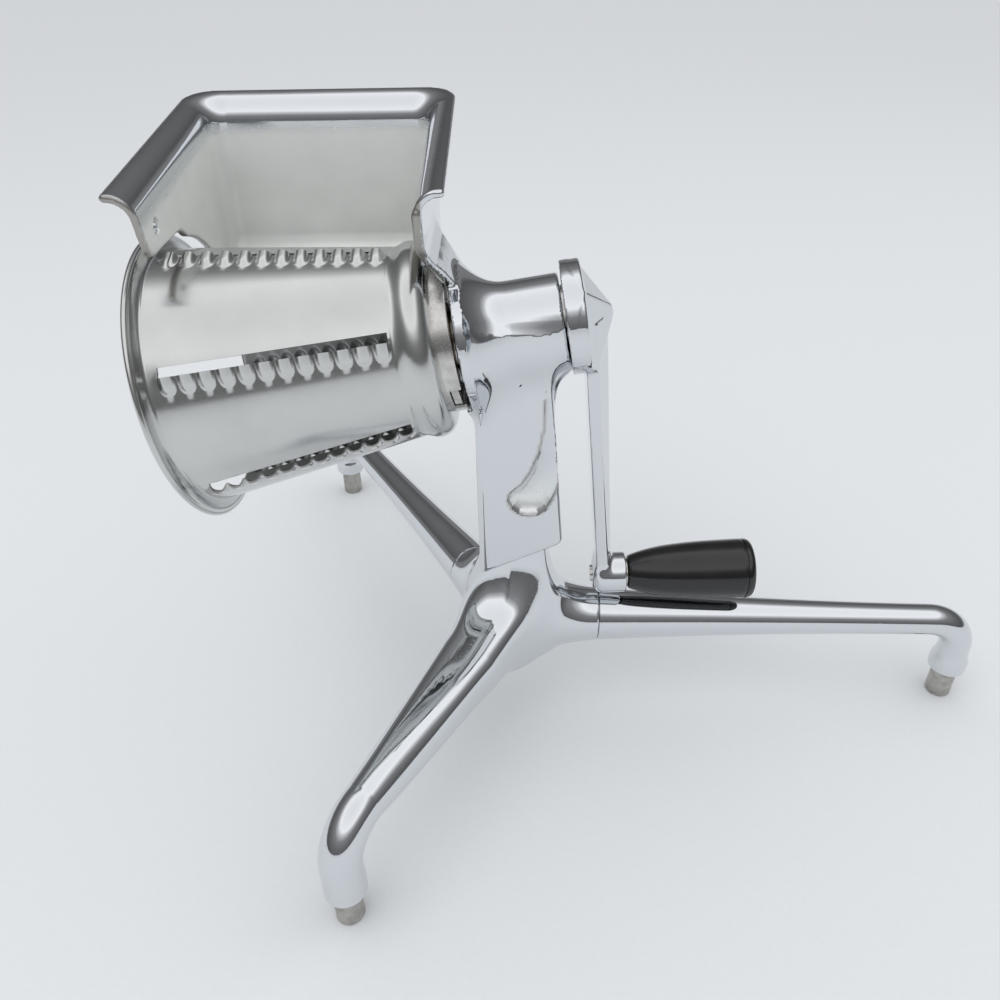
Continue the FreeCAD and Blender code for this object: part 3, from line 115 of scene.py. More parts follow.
# crank and grip
BOSS_START, BOSS_FACE, BOSS_RADIUS = 32.6, 39.8, 20.3
CAP_APEX, CAP_HALF, CAP_LOW, CAP_RIDGE, CAP_FLAT = 49.2, 14.2, 20.2, 2.5, 0.6
BORE_END, SHAFT_BORE, GRUB_BORE = 43.4, 6.02, 2.52
ARM_HALF, ARM_SIDE, ARM_RIDGE = 10.5, 2.0, 5.3
ARM_STATION, CRANK_CANT, GRIP_CANT = 40.4, math.radians(3.5), math.radians(7.4)
EYE_RADIUS, EYE_BACK, EYE_FRONT = 9.0, 4.4, 10.0
CRANK_CLEARANCE = 2.8
SEAM_TOP = LEG_HEIGHT - ROOT_DISTANCE * math.tan(LEG_SLOPE) + ROOT_RADIUS
CRANK_THROW = ((SHAFT_HEIGHT + ARM_STATION * math.sin(SHAFT_TILT) - SEAM_TOP
                - CRANK_CLEARANCE - EYE_RADIUS) / math.cos(SHAFT_TILT - CRANK_CANT))
SPINDLE_RADIUS, GRIP_BORE = 3.0, 3.06
GRIP_START, GRIP_END, GRIP_CAP_END = 10.8, 60.8, 64.7
GRIP_RADIUS, GRIP_WAIST, GRIP_SWELL = 13.2, 6.25, 15.0
GRIP_CAP_RADIUS, GRIP_CAP_ROUND = 12.95, 2.7


# ---- frames ----

def shaft_axes(x, y, z):
    """Station along the shaft and the two offsets from its axis, to the back and up."""
    high = z - SHAFT_HEIGHT
    along = x * math.cos(SHAFT_TILT) + high * math.sin(SHAFT_TILT)
    up = high * math.cos(SHAFT_TILT) - x * math.sin(SHAFT_TILT)
    return along, y, up


def from_shaft(along, back, up):
    """Machine points from stations and offsets: the inverse of shaft_axes."""
    x = along * math.cos(SHAFT_TILT) - up * math.sin(SHAFT_TILT)
    z = SHAFT_HEIGHT + along * math.sin(SHAFT_TILT) + up * math.cos(SHAFT_TILT)
    return np.stack(np.broadcast_arrays(x, back, z), -1)


def turned_axes(along, up, start, start_up, turn):
    """Shaft offsets measured from another point and turned about the horizontal, as by a cant."""
    ahead, high = along - start, up - start_up
    c, s = math.cos(turn), math.sin(turn)
    return ahead * c - high * s, ahead * s + high * c


EYE_PLACE = (ARM_STATION - CRANK_THROW * math.sin(CRANK_CANT), -CRANK_THROW * math.cos(CRANK_CANT))


def from_grip(along, back, up):
    """Machine points from the grip's axes: along the spindle, to the back and up."""
    c, s = math.cos(GRIP_CANT), math.sin(GRIP_CANT)
    return from_shaft(EYE_PLACE[0] + along * c + up * s, back, EYE_PLACE[1] + up * c - along * s)


def leg_axes(x, y, side):
    """Distance from the hub along a leg and offset across it, in plan."""
    turn = math.radians(LEG_TURNS[side])
    c, s = math.cos(turn), math.sin(turn)
    return (x - HUB_X) * c + y * s, y * c - (x - HUB_X) * s


def from_leg(along, across, z, side):
    turn = math.radians(LEG_TURNS[side])
    c, s = math.cos(turn), math.sin(turn)
    x, y = HUB_X + along * c - across * s, along * s + across * c
    return np.stack(np.broadcast_arrays(x, y, z), -1)


def bar_axes(along, z):
    """Distance along a leg's sloping middle line and below it."""
    down = LEG_HEIGHT - z
    c, s = math.cos(LEG_SLOPE), math.sin(LEG_SLOPE)
    return along * c + down * s, down * c - along * s


def leg_bend(leg_reach):
    """Where a leg's quarter bend has its middle, out and up, and where its straight bar ends."""
    flat = leg_reach - LEG_BEND
    height = LEG_HEIGHT - flat * math.tan(LEG_SLOPE) - LEG_BEND / math.cos(LEG_SLOPE)
    return flat, height, flat + LEG_BEND * math.sin(LEG_SLOPE)


# ---- distance fields ----
# A cast piece is the zero level of a field that gives the distance to its surface, negative
# inside.  Two shapes run together over a length k, as metal does in a mould.

def blend_min(a, b, k):
    """Union with a hollow fillet: the smaller distance, less h*h*k/4 where they are within k."""
    h = np.maximum(k - np.abs(a - b), 0) / k
    return np.minimum(a, b) - h * h * k / 4


def blend_max(a, b, k):
    """Intersection with a rounded edge."""
    return -blend_min(-a, -b, k)


def corner(a, b, radius):
    """Distance to a quarter-infinite block a < 0, b < 0 whose edge has a true radius."""
    a, b = a + radius, b + radius
    return np.minimum(np.maximum(a, b), 0) + np.hypot(np.maximum(a, 0), np.maximum(b, 0)) - radius


def segment(a, b, start, end):
    """Distance in a plane from (a, b) to a segment, and the share along it of the nearest point."""
    da, db = end[0] - start[0], end[1] - start[1]
    share = np.clip(((a - start[0]) * da + (b - start[1]) * db) / (da * da + db * db), 0, 1)
    return np.hypot(a - start[0] - share * da, b - start[1] - share * db), share


def plane(a, b, start, end):
    """Signed distance from the line start-end, positive on its right-hand side."""
    da, db = end[0] - start[0], end[1] - start[1]
    return ((a - start[0]) * db - (b - start[1]) * da) / math.hypot(da, db)


def smooth(value, low, high):
    """0 below low, 1 above high, with level ends: t*t*(3-2t)."""
    t = np.clip((value - low) / (high - low), 0, 1)
    return t * t * (3 - 2 * t)


def curve(value, places, values):
    """The polynomial through given values at given places, held level beyond them."""
    terms = np.polyfit(places, values, len(places) - 1)
    return np.polyval(terms, np.clip(value, places[0], places[-1]))


def drum_radius(along):
    """Outside of the drum's body: a cone whose half angle is the shaft's tilt."""
    return DRUM_SMALL + (TEETH_END - along) * math.tan(SHAFT_TILT)


def hopper_out(x, y, z, corner_radius, reach=0.0):
    """How far a point stands outside the hopper's inner faces, and its depth below the rim."""
    rim = RIM_BACK - (HOPPER_BACK - y) * math.tan(RIM_SLOPE)
    across = np.abs(x - HOPPER_MIDDLE) - (HOPPER_HALF + reach)
    behind = y - HOPPER_BACK - reach + (rim - z) * BACK_LEAN
    return corner(across, behind, corner_radius), (rim - z) * math.cos(RIM_SLOPE)


def hopper_trim(y, z):
    """Side view of the hopper's walls: upright front, leaning tip, arch behind the drum, ramp."""
    front = blend_max(HOPPER_FRONT - y,
                      plane(y, z, (HOPPER_FRONT, SIDE_BOTTOM + SIDE_TIP),
                            (HOPPER_FRONT + SIDE_LEAN, SIDE_BOTTOM)), 3.0)
    low = blend_min(SIDE_BOTTOM - z, SIDE_STEP - y, 12.0)
    ramp_back = HOPPER_BACK + HOPPER_WALL
    ramp = plane(y, z, (ramp_back - RAMP_INSET, RAMP_BOTTOM), (ramp_back, RAMP_TOP))
    return blend_max(blend_max(front, low, 3.5), np.maximum(ramp, RAMP_BOTTOM - z), 1.0)


def hopper_field(x, y, z):
    """U-shaped wall bent out into a rim: a band about its middle line, trimmed in side view."""
    out, depth = hopper_out(x, y, z, CORNER_RADIUS)
    centre, half = RIM_BEND + HOPPER_WALL, HOPPER_WALL / 2
    bend = np.abs(np.hypot(out - centre, depth - centre) - centre + half)
    upright, level = np.abs(out - half), np.abs(depth - half)
    line = np.where(out < centre, np.where(depth < centre, bend, upright),
                    np.where(depth < centre, level, np.minimum(upright, level)))
    edge, _ = hopper_out(x, y, z, RIM_CORNER, RIM_REACH)
    wall = blend_max(line - half, edge, 1.6)
    wall = blend_max(wall, hopper_trim(y, z), CAST_EDGE)
    lean = (RIM_BACK - RAMP_TOP) * BACK_LEAN
    ramp, _ = segment(y, z, (HOPPER_BACK - lean + half, RAMP_TOP + 1),
                      (HOPPER_BACK - RAMP_INSET + half, RAMP_BOTTOM + 1))
    sides = np.abs(x - HOPPER_MIDDLE) - HOPPER_HALF - HOPPER_WALL
    return blend_min(wall, blend_max(ramp - half + 0.1, sides, 1.0), 2.5)


def drum_room(along, radius):
    """Room cast for the turning drum: a cone clear of its teeth and a disc clear of its rim."""
    room = (radius - drum_radius(along) - DRUM_ROOM) * math.cos(SHAFT_TILT)
    room = np.maximum(room, along - DRUM_END - 1)
    band = DRUM_MOUTH + RIM_WIDTH + 1
    return np.minimum(room, np.maximum(radius - RIM_RADIUS - 1.5, along - band))


NECK_LINE = ((-16.5, 240.0), (-16.5, 229.0), (-15.6, 225.0), (-13.4, 220.6), (-10.4, 216.4),
             (-8.0, 212.6), (-6.6, 207.0))


def neck_field(x, y, z):
    """Curved strap from the hopper's right wall over the drum's end to the bearing plate."""
    lines = [segment(x, z, a, b)[0] for a, b in zip(NECK_LINE, NECK_LINE[1:])]
    line = np.minimum.reduce(lines)
    half_thick = 1.9 - 0.6 * smooth(z, 212.0, 232.0)
    half_width = 11.0 + 16.0 * smooth(z, 206.0, 240.0)
    return blend_max(line - half_thick, (np.abs(y) - half_width) * 0.8, CAST_EDGE)


def bearing_field(along, radius):
    """Round plate that flares into a barrel: its radius falls from the plate's as a power."""
    share = np.clip((FLARE_END - along) / (FLARE_END - PLATE_END), 0, 1)
    outside = BARREL_RADIUS + (PLATE_RADIUS - BARREL_RADIUS) * share ** FLARE_POWER
    side = (radius - outside) * np.where((along > PLATE_END) & (along < FLARE_END), 0.8, 1.0)
    return blend_max(side, np.maximum(PLATE_START - along, along - BARREL_END), 1.0)


def post_field(x, y, z):
    """Tapered post with rounded upright edges, a slanted lower edge and a rib at its right."""
    right = plane(x, z, (POST_RIGHT_LOW, POST_LOW), (POST_RIGHT_TOP, POST_TOP))
    lower = (x - POST_LEFT) * math.sin(POST_SLOPE) - (z - POST_BOTTOM) * math.cos(POST_SLOPE)
    sides = np.maximum(POST_LEFT - x, right)
    column = blend_max(corner(sides, np.abs(y) - POST_HALF, POST_ROUND), lower, 2.2)
    column = np.maximum(column, z - SHAFT_HEIGHT)
    rib = plane(x, z, (POST_RIGHT_TOP - 1, RIB_FOOT), (RIB_RIGHT, RIB_TOP))
    rib = blend_max(np.maximum(rib, x - RIB_RIGHT), np.abs(y) - RIB_HALF, 2.0)
    rib = np.maximum(rib, np.maximum(z - SHAFT_HEIGHT, RIB_LEFT - x))
    return blend_min(column, rib, 4.0)


SCOOP_LOOP = ((24.6, 171.0), (24.5, 156.9), (22.3, 145.2), (19.2, 136.6), (15.6, 130.3),
              (10.9, 126.0), (10.0, 122.4), (11.6, 118.6), (14.6, 116.0), (18.5, 114.9),
              (22.5, 115.3), (25.8, 117.8), (28.4, 122.6), (31.0, 129.5), (36.0, 142.0),
              (42.0, 150.0), (42.0, 171.0))


def scoop_inside(x, z):
    """Distance in the front face from the scoop's edge, positive inside its loop of corners.

    A point is inside where a line from it to the right crosses an odd number of sides; a level
    side is never crossed.
    """
    far, within = 99.0, False
    for start, end in zip(SCOOP_LOOP, SCOOP_LOOP[1:] + SCOOP_LOOP[:1]):
        far = np.minimum(far, segment(x, z, start, end)[0])
        beside = start[0] + (z - start[1]) * (end[0] - start[0]) / (end[1] - start[1] or 1.0)
        within = within ^ (((start[1] > z) != (end[1] > z)) & (x < beside))
    return np.where(within, far, -far)


def scoop_field(x, y, z):
    """Thumb scoop in the post's front, negative where it is cut away.

    At a distance d inside its edge the cut is D * (1 - exp(-d / 2.6)) deep, where D grows from
    0.8 mm at the top to 4.4 mm at the lower end.
    """
    inside = scoop_inside(x, z)
    depth = 4.4 - 3.6 * smooth(z, 124.0, 171.0)
    cut = depth * (1 - np.exp(-np.maximum(inside, 0) / 2.6)) + 3.0 * np.minimum(inside, 0)
    return y + POST_HALF - cut


def screw_holes(x, y, z):
    """Holes from the back to the middle plane for the screws that hold the tongue."""
    places = [np.hypot(x - place, z - SCREW_HEIGHT) for place in SCREW_PLACES]
    return np.maximum(np.minimum(*places) - SCREW_RADIUS, -y)


def body_field(x, y, z):
    """Hopper, neck, bearing and post in one casting, with its bore, socket, scoop and holes."""
    along, back, up = shaft_axes(x, y, z)
    radius = np.hypot(back, up)
    body = blend_max(hopper_field(x, y, z), -drum_room(along, radius), CAST_EDGE)
    body = blend_min(body, neck_field(x, y, z), 1.6)
    bearing = blend_min(bearing_field(along, radius), post_field(x, y, z), 11.0)
    body = blend_min(body, bearing, 1.6)
    body = blend_max(body, -np.maximum(radius - PLATE_RADIUS - 1.6, along - PLATE_START), 0.4)
    body = blend_max(body, -scoop_field(x, y, z), 0.4)
    body = blend_max(body, BUSH_RADIUS - radius, 0.4)
    socket = np.maximum(np.maximum(TONGUE_LEFT - TONGUE_FIT - x, x - TONGUE_RIGHT - TONGUE_FIT),
                        np.maximum(np.abs(y) - TONGUE_HALF, z - TONGUE_TOP) - TONGUE_FIT)
    body = blend_max(body, -socket, 0.4)
    pivot = np.hypot(y - PIVOT_HOLE[0], z - PIVOT_HOLE[1]) - PIVOT_HOLE[2]
    body = blend_max(body, -np.maximum(pivot, x - HOPPER_LEFT - RIM_REACH), 0.5)
    return np.maximum(body, -screw_holes(x, y, z))


def root_share(reach):
    """Share of the way up a leg's horn, from 0 where it starts, HORN_LENGTH before its middle."""
    return np.clip((ROOT_DISTANCE - reach) / HORN_LENGTH, 0, 1.15)


def horn_field(off, across, reach, radius):
    """Bar of a given radius that spreads into a horn towards the hub, most of all upwards.

    With s = root_share, its half height above the axis grows by 12.8 s^2.4, below it by
    4.2 s^1.7 and its half width by s.
    """
    s = root_share(reach)
    height = radius + np.where(off < 0, 12.8 * s ** 2.4, 4.2 * s ** 1.7)
    return (np.hypot(off / height, across / (radius + s)) - 1) * radius


def ribbon_field(off, across, reach, radius):
    """Front leg's bar: a half ellipse below its axis and a flattened ribbon above it.

    The ribbon's section is (|a| / w)^p + (|h| / t)^p = 1, with the power p falling from 3.1 at
    the hub to 2 at the bend.  Its top t is 0.92 of the radius, and all of it at the bend.
    Towards the hub the top grows by 3 ((44 - reach) / 44)^2, the half ellipse below by
    4.2 s^1.7 with s = root_share, and the half width w falls by 2.2 s.
    """
    s = root_share(reach)
    wide = radius - 2.2 * s
    top = radius * (0.92 + 0.08 * smooth(reach, 60.0, 105.0))
    top = top + 3.0 * np.clip((44.0 - reach) / 44.0, 0, 1.1) ** 2
    power = 3.1 - 1.1 * smooth(reach, 40.0, 105.0)
    over = ((np.abs(across) / wide) ** power + (np.abs(off) / top) ** power) ** (1 / power)
    under = np.hypot(off / (radius + 4.2 * s ** 1.7), across / wide)
    return (np.where(off < 0, over, under) - 1) * wide


def front_leg_field(along, across, z):
    """Front leg: a ribbon, a sloping bar, a quarter bend and a thicker upright end."""
    flat, knee, start = leg_bend(FRONT_REACH)
    reach, off = bar_axes(along, z)
    bar = ribbon_field(off, across, reach, curve(reach, FRONT_PLACES, FRONT_RADII))
    bar = blend_max(bar, np.maximum(reach - start - 0.2, -2.0 - reach), 0.1)
    thin = FRONT_RADII[-1]
    a, b = np.maximum(along - flat, 0), np.maximum(z - knee, 0)
    bend = np.hypot(np.hypot(a, b) - LEG_BEND, across) - thin
    bend = np.where((along > flat) & (z > knee), bend, 99.0)
    end = np.hypot(along - FRONT_REACH, across)
    end = end - thin - (LEG_END_RADIUS - thin) * smooth(knee - z, 2.0, 8.0)
    end = np.maximum(blend_max(end, LEG_END_HEIGHT - z, 1.6), z - knee - 0.2)
    return np.minimum(np.minimum(bar, bend), end)


def base_field(x, y, z):
    """Tripod hub with its front leg, two leg roots and the tongue inside the post.

    Below the post the tongue's left side spreads by 6.8 s^1.7 with s = (82 - z) / 32.
    """
    left = TONGUE_LEFT - 6.8 * np.clip((82.0 - z) / 32.0, 0, 1.1) ** 1.7
    sides = np.maximum(left - x, x - TONGUE_RIGHT)
    tongue = corner(sides, np.abs(y) - TONGUE_HALF, TONGUE_ROUND)
    tongue = blend_max(tongue, np.maximum(z - TONGUE_TOP, TONGUE_BOTTOM - z), 1.0)
    base = np.sqrt((x - HUB_X) ** 2 + y ** 2 + (z - LEG_HEIGHT) ** 2) - MIDDLE_RADIUS
    for side in ("right", "rear"):
        along, across = leg_axes(x, y, side)
        reach, off = bar_axes(along, z)
        root = horn_field(off, across, reach, curve(reach, ROOT_PLACES, ROOT_RADII))
        root = blend_max(root, np.maximum(reach - ROOT_DISTANCE, -reach), 0.8)
        stud = np.maximum(np.hypot(off, across) - STUD_BORE, ROOT_DISTANCE - STUD_DEPTH - reach)
        base = np.maximum(blend_min(base, root, 5.0), -stud)
    along, across = leg_axes(x, y, "front")
    base = blend_min(base, blend_min(front_leg_field(along, across, z), tongue, 21.0), 5.0)
    peg = np.hypot(along - FRONT_REACH, across) - PEG_BORE
    base = np.maximum(base, -np.maximum(peg, z - PEG_TOP))
    return np.maximum(base, -screw_holes(x, y, z))


def crank_field(x, y, z):
    """Round boss with a four-sided ridged cap, a ridged tapering arm and the spindle's eye.

    With the share s from the boss to the eye, the arm's half width falls by 4.5 s, its sides
    grow by 0.5 s and the ridge over them falls by 3.9 s.
    """
    along, back, up = shaft_axes(x, y, z)
    radius = np.hypot(back, up)
    boss = np.maximum(BOSS_START - along, along - BOSS_FACE)
    boss = blend_max(radius - BOSS_RADIUS, boss, 1.2)
    rise = CAP_APEX - BOSS_FACE
    cap = np.maximum(BOSS_START - along, radius - BOSS_RADIUS)
    for offset, wide, narrow, k in ((np.abs(back), CAP_HALF, CAP_FLAT, 0.6),
                                    (up, CAP_HALF, CAP_RIDGE, 0.7),
                                    (-up, CAP_LOW, CAP_RIDGE, 0.7)):
        facet = (along - BOSS_FACE) * (wide - narrow) + (offset - wide) * rise
        cap = blend_max(cap, facet / math.hypot(rise, wide - narrow), k)
    ahead, high = turned_axes(along, up, ARM_STATION, 0.0, CRANK_CANT)
    share = np.clip(-high / CRANK_THROW, 0, 1)
    width = ARM_HALF - 4.5 * share
    side = ARM_SIDE + 0.5 * share
    ridge = side + ARM_RIDGE - 3.9 * share
    slant = (ridge - side) / width
    roof = (ahead - ridge + np.abs(back) * slant) / np.sqrt(1 + slant * slant)
    arm = blend_max(blend_max(roof, -side - ahead, 1.2), np.abs(back) - width, 1.2)
    arm = np.maximum(arm, np.maximum(high, -CRANK_THROW - high))
    ahead, high = turned_axes(along, up, *EYE_PLACE, GRIP_CANT)
    from_spindle = np.hypot(back, high)
    eye = blend_max(from_spindle - EYE_RADIUS, -EYE_BACK - ahead, 5.0)
    eye = blend_max(eye, ahead - EYE_FRONT, 1.0)
    crank = blend_min(boss, cap, 0.8)
    crank = blend_min(crank, arm, 1.6)
    crank = blend_min(crank, eye, 2.5)
    crank = np.maximum(crank, -np.maximum(radius - SHAFT_BORE, along - BORE_END))
    grub = np.hypot(along - (BOSS_START + BOSS_FACE) / 2, up) - GRUB_BORE
    crank = np.maximum(crank, -np.maximum(grub, -back))
    return blend_max(crank, SPINDLE_RADIUS - from_spindle, 0.4)


# ---- meshes ----

def gradient(field, points, step=0.02):
    """Numeric gradient by central differences along the three axes."""
    result = np.empty_like(points)
    for axis in range(3):
        shift = np.zeros(3)
        shift[axis] = step
        ahead, behind = points + shift, points - shift
        result[:, axis] = (field(*ahead.T) - field(*behind.T)) / (2 * step)
    return result


def skin(field, low, high, step):
    """Closed mesh on a field's zero level, as points, quads and outward normals.

    Each grid cell that the level crosses gets one point, the mean of the crossings on its
    edges, moved onto the level by Newton steps p - f g / |g|^2.  Each crossed grid edge gets
    one quad through the points of the four cells around it.
    """
    low, high = np.array(low, float), np.array(high, float)
    axes = [np.arange(low[i], high[i] + step, step) for i in range(3)]
    x, y, z = axes[0][:, None, None], axes[1][None, :, None], axes[2][None, None, :]
    values = np.broadcast_to(field(x, y, z), [len(axis) for axis in axes]).astype(np.float32)
    inside = values < 0
    shape = [n - 1 for n in values.shape]
    corners = [(i, j, k) for i in (0, 1) for j in (0, 1) for k in (0, 1)]

    def window(array, offset):
        return array[tuple(slice(o, o + n) for o, n in zip(offset, shape))]
    count = sum(window(inside, offset).astype(np.int8) for offset in corners)
    crossed = (count > 0) & (count < 8)
    cells = np.argwhere(crossed)
    total, hits = np.zeros((len(cells), 3)), np.zeros(len(cells))
    for axis in range(3):
        for offset in corners:
            if offset[axis]:
                continue
            first = cells + offset
            last = first.copy()
            last[:, axis] += 1
            a, b = values[tuple(first.T)].astype(float), values[tuple(last.T)].astype(float)
            change = (a < 0) != (b < 0)
            place = first.astype(float)
            place[:, axis] += np.where(change, a / np.where(change, a - b, 1), 0)
            total[change] += place[change]
            hits[change] += 1
    points = low + total / hits[:, None] * step
    for _ in range(4):
        slope = gradient(field, points)
        size = np.maximum((slope ** 2).sum(1), 0.2)
        move = -slope * (field(*points.T) / size)[:, None]
        length = np.linalg.norm(move, axis=1)
        points += move * np.minimum(1, step * 0.6 / np.maximum(length, 1e-9))[:, None]
    number = np.full(shape, -1, np.int64)
    number[crossed] = np.arange(len(cells))
    quads = []
    for axis in range(3):
        side, far = [other for other in range(3) if other != axis]
        a = np.delete(inside, -1, axis)
        b = np.delete(inside, 0, axis)
        edges = np.argwhere(a != b)
        edges = edges[(edges[:, side] > 0) & (edges[:, far] > 0)
                      & (edges[:, side] < shape[side]) & (edges[:, far] < shape[far])]
        around = []
        for s, f in ((1, 1), (0, 1), (0, 0), (1, 0)):
            cell = edges.copy()
            cell[:, side] -= s
            cell[:, far] -= f
            around.append(number[tuple(cell.T)])
        quad = np.stack(around, 1)
        starts_inside = a[tuple(edges.T)]
        flip = starts_inside if axis == 1 else ~starts_inside
        quad[flip] = quad[flip][:, ::-1]
        quads.append(quad)
    normals = gradient(field, points)
    normals /= np.linalg.norm(normals, axis=1)[:, None]
    return points, np.concatenate(quads), normals


def grid_quads(rows, columns, wrap_rows=False, wrap_columns=False):
    """Quads of a grid whose points are numbered row by row."""
    i = np.arange(rows if wrap_rows else rows - 1)[:, None]
    j = np.arange(columns if wrap_columns else columns - 1)[None, :]
    below, right = (i + 1) % rows, (j + 1) % columns
    quads = np.stack(np.broadcast_arrays(i * columns + j, i * columns + right,
                                         below * columns + right, below * columns + j), -1)
    return quads.reshape(-1, 4)


def new_mesh(name, points, quads):
    """Mesh in the row's frame, in metres, from machine points in millimetres."""
    mesh = bpy.data.meshes.new(name)
    mesh.vertices.add(len(points))
    mesh.vertices.foreach_set("co", ((points - ORIGIN) * MM).astype(np.float32).ravel())
    mesh.loops.add(quads.size)
    mesh.loops.foreach_set("vertex_index", quads.ravel().astype(np.int32))
    mesh.polygons.add(len(quads))
    mesh.polygons.foreach_set("loop_start", np.arange(0, quads.size, 4, dtype=np.int32))
    mesh.update(calc_edges=True)
    return mesh


def closed(mesh):
    """Merges doubled points at seams and poles and turns every face outwards."""
    work = bmesh.new()
    work.from_mesh(mesh)
    bmesh.ops.remove_doubles(work, verts=work.verts, dist=2e-6)
    bmesh.ops.dissolve_degenerate(work, edges=work.edges, dist=1e-7)
    bmesh.ops.recalc_face_normals(work, faces=work.faces)
    work.to_mesh(mesh)
    work.free()
    return mesh


def add_share(mesh, name, values):
    """Gives each point of a mesh its share of a finish."""
    layer = mesh.attributes.new(name, "FLOAT", "POINT")
    layer.data.foreach_set("value", values.astype(np.float32))


def dressed(name, mesh, body, slot, material, replaced, sharp=None):
    """Makes a mesh a piece that rides on a body and stands for a node of the frame."""
    mesh.shade_smooth()
    if sharp:
        mesh.set_sharp_from_angle(angle=math.radians(sharp))
    piece = bpy.data.objects.new(name, mesh)
    bpy.context.scene.collection.objects.link(piece)
    mesh.materials.append(material)
    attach(piece, body)
    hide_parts(*replaced)


def cast_piece(name, field, low, high, step, finish, **place):
    """Cast piece from its field, with its surface normals and the shares of its two finishes."""
    points, quads, normals = skin(field, low, high, step)
    mesh = new_mesh(name, points, quads)
    # The two shares are finishes that also hold a painted sheen and a painted shade line
    for share, values in zip(("satin", "raw_edge_and_crease_shade"), finish(points)):
        add_share(mesh, share, values)
    dressed(name, mesh, **place)
    mesh.normals_split_custom_set_from_vertices(normals.astype(np.float32))


def turned_piece(name, profile, place_points, around=96, sharp=32, **place):
    """Piece turned about an axis: a closed loop of (along, radius) points carried around it."""
    profile = np.array(profile, float)
    turn = np.linspace(0, 2 * math.pi, around, endpoint=False)[None, :]
    along, radius = profile[:, :1], profile[:, 1:]
    points = place_points(along + 0 * turn, radius * np.sin(turn), radius * np.cos(turn))
    mesh = new_mesh(name, points.reshape(-1, 3), grid_quads(len(profile), around, True, True))
    dressed(name, closed(mesh), sharp=sharp, **place)


# ---- materials ----

def colour(code):
    """Linear colour from an sRGB hex code: ((c + 0.055) / 1.055) ** 2.4 above the toe."""
    parts = [int(code[i:i + 2], 16) / 255 for i in (1, 3, 5)]
    return [c / 12.92 if c <= 0.04045 else ((c + 0.055) / 1.055) ** 2.4 for c in parts] + [1.0]


def node(tree, kind, out, sockets=(), **settings):
    """Adds a node with its settings and gives back one of its outputs, where it has any.

    Each socket gets a value or a link from another node's output: sockets is a dictionary by
    name or number, or a row of values from the first socket on.
    """
    item = tree.nodes.new("ShaderNode" + kind)
    for name, value in settings.items():
        setattr(item, name, value)
    for name, value in sockets.items() if isinstance(sockets, dict) else enumerate(sockets):
        if isinstance(value, bpy.types.NodeSocket):
            tree.links.new(value, item.inputs[name])
        else:
            item.inputs[name].default_value = value
    return item.outputs[out] if item.outputs else item


def new_material(name, base, metallic, roughness):
    material = bpy.data.materials.new(name)
    material.use_nodes = True
    tree = material.node_tree
    shader = tree.nodes["Principled BSDF"]
    shader.inputs["Base Color"].default_value = colour(base)
    shader.inputs["Metallic"].default_value = metallic
    shader.inputs["Roughness"].default_value = roughness
    return material, tree, shader


def millimetres(tree, scale=(1, 1, 1), turn=(0, 0, 0)):
    """Object coordinates in millimetres, stretched by scale after a turn in degrees."""
    where = node(tree, "TexCoord", "Object")
    turned = node(tree, "Mapping", "Vector",
                  {"Vector": where, "Rotation": [math.radians(a) for a in turn]})
    return node(tree, "Mapping", "Vector", {"Vector": turned, "Scale": [s / MM for s in scale]})


def grain(tree, size, detail=2.0, scale=(1, 1, 1), turn=(0, 0, 0), rough=0.5):
    """Noise whose grains are about size millimetres."""
    return node(tree, "TexNoise", "Fac", {"Vector": millimetres(tree, scale, turn),
                                          "Scale": 1 / size, "Detail": detail, "Roughness": rough})


def scratches(tree, size, stretch, turn, low, high):
    """Hairlines: noise drawn out along one direction, kept only where it peaks."""
    line = grain(tree, size, 3.0, (stretch, 1, 1), turn, 0.6)
    return node(tree, "MapRange", "Result", (line, low, high), interpolation_type="SMOOTHSTEP")


def bumped(tree, shader, *layers):
    """Bumps one over another, each a height and the depth of its relief in millimetres."""
    normal = None
    for height, depth in layers:
        sockets = {"Height": height, "Distance": depth * MM, "Strength": 1.0}
        if normal:
            sockets["Normal"] = normal
        normal = node(tree, "Bump", "Normal", sockets)
    tree.links.new(normal, shader.inputs["Normal"])


def worn(name, metallic, tones, rough, wear_size, hairlines, relief, ior=1.5):
    """Material whose colour and roughness follow one wear pattern, with hairlines over it.

    tones and rough are the values where the wear is least and most; wear_size is its grain in
    millimetres; relief is the depth of the wear and of the hairlines in millimetres.
    """
    material, tree, shader = new_material(name, tones[0], metallic, rough[0])
    shader.inputs["IOR"].default_value = ior
    wear = grain(tree, wear_size, 4.0)
    lines = scratches(tree, *hairlines)
    level = node(tree, "MapRange", "Result", (wear, 0.3, 0.7, *rough))
    level = node(tree, "Math", "Value", (lines, 0.1, level), operation="MULTIPLY_ADD")
    tree.links.new(level, shader.inputs["Roughness"])
    share = node(tree, "MapRange", "Result", (wear, 0.38, 0.66))
    tone = node(tree, "Mix", 2, {0: share, 6: colour(tones[0]), 7: colour(tones[1])},
                data_type="RGBA")
    tree.links.new(tone, shader.inputs["Base Color"])
    bumped(tree, shader, (wear, relief[0]), (lines, relief[1]))
    return material


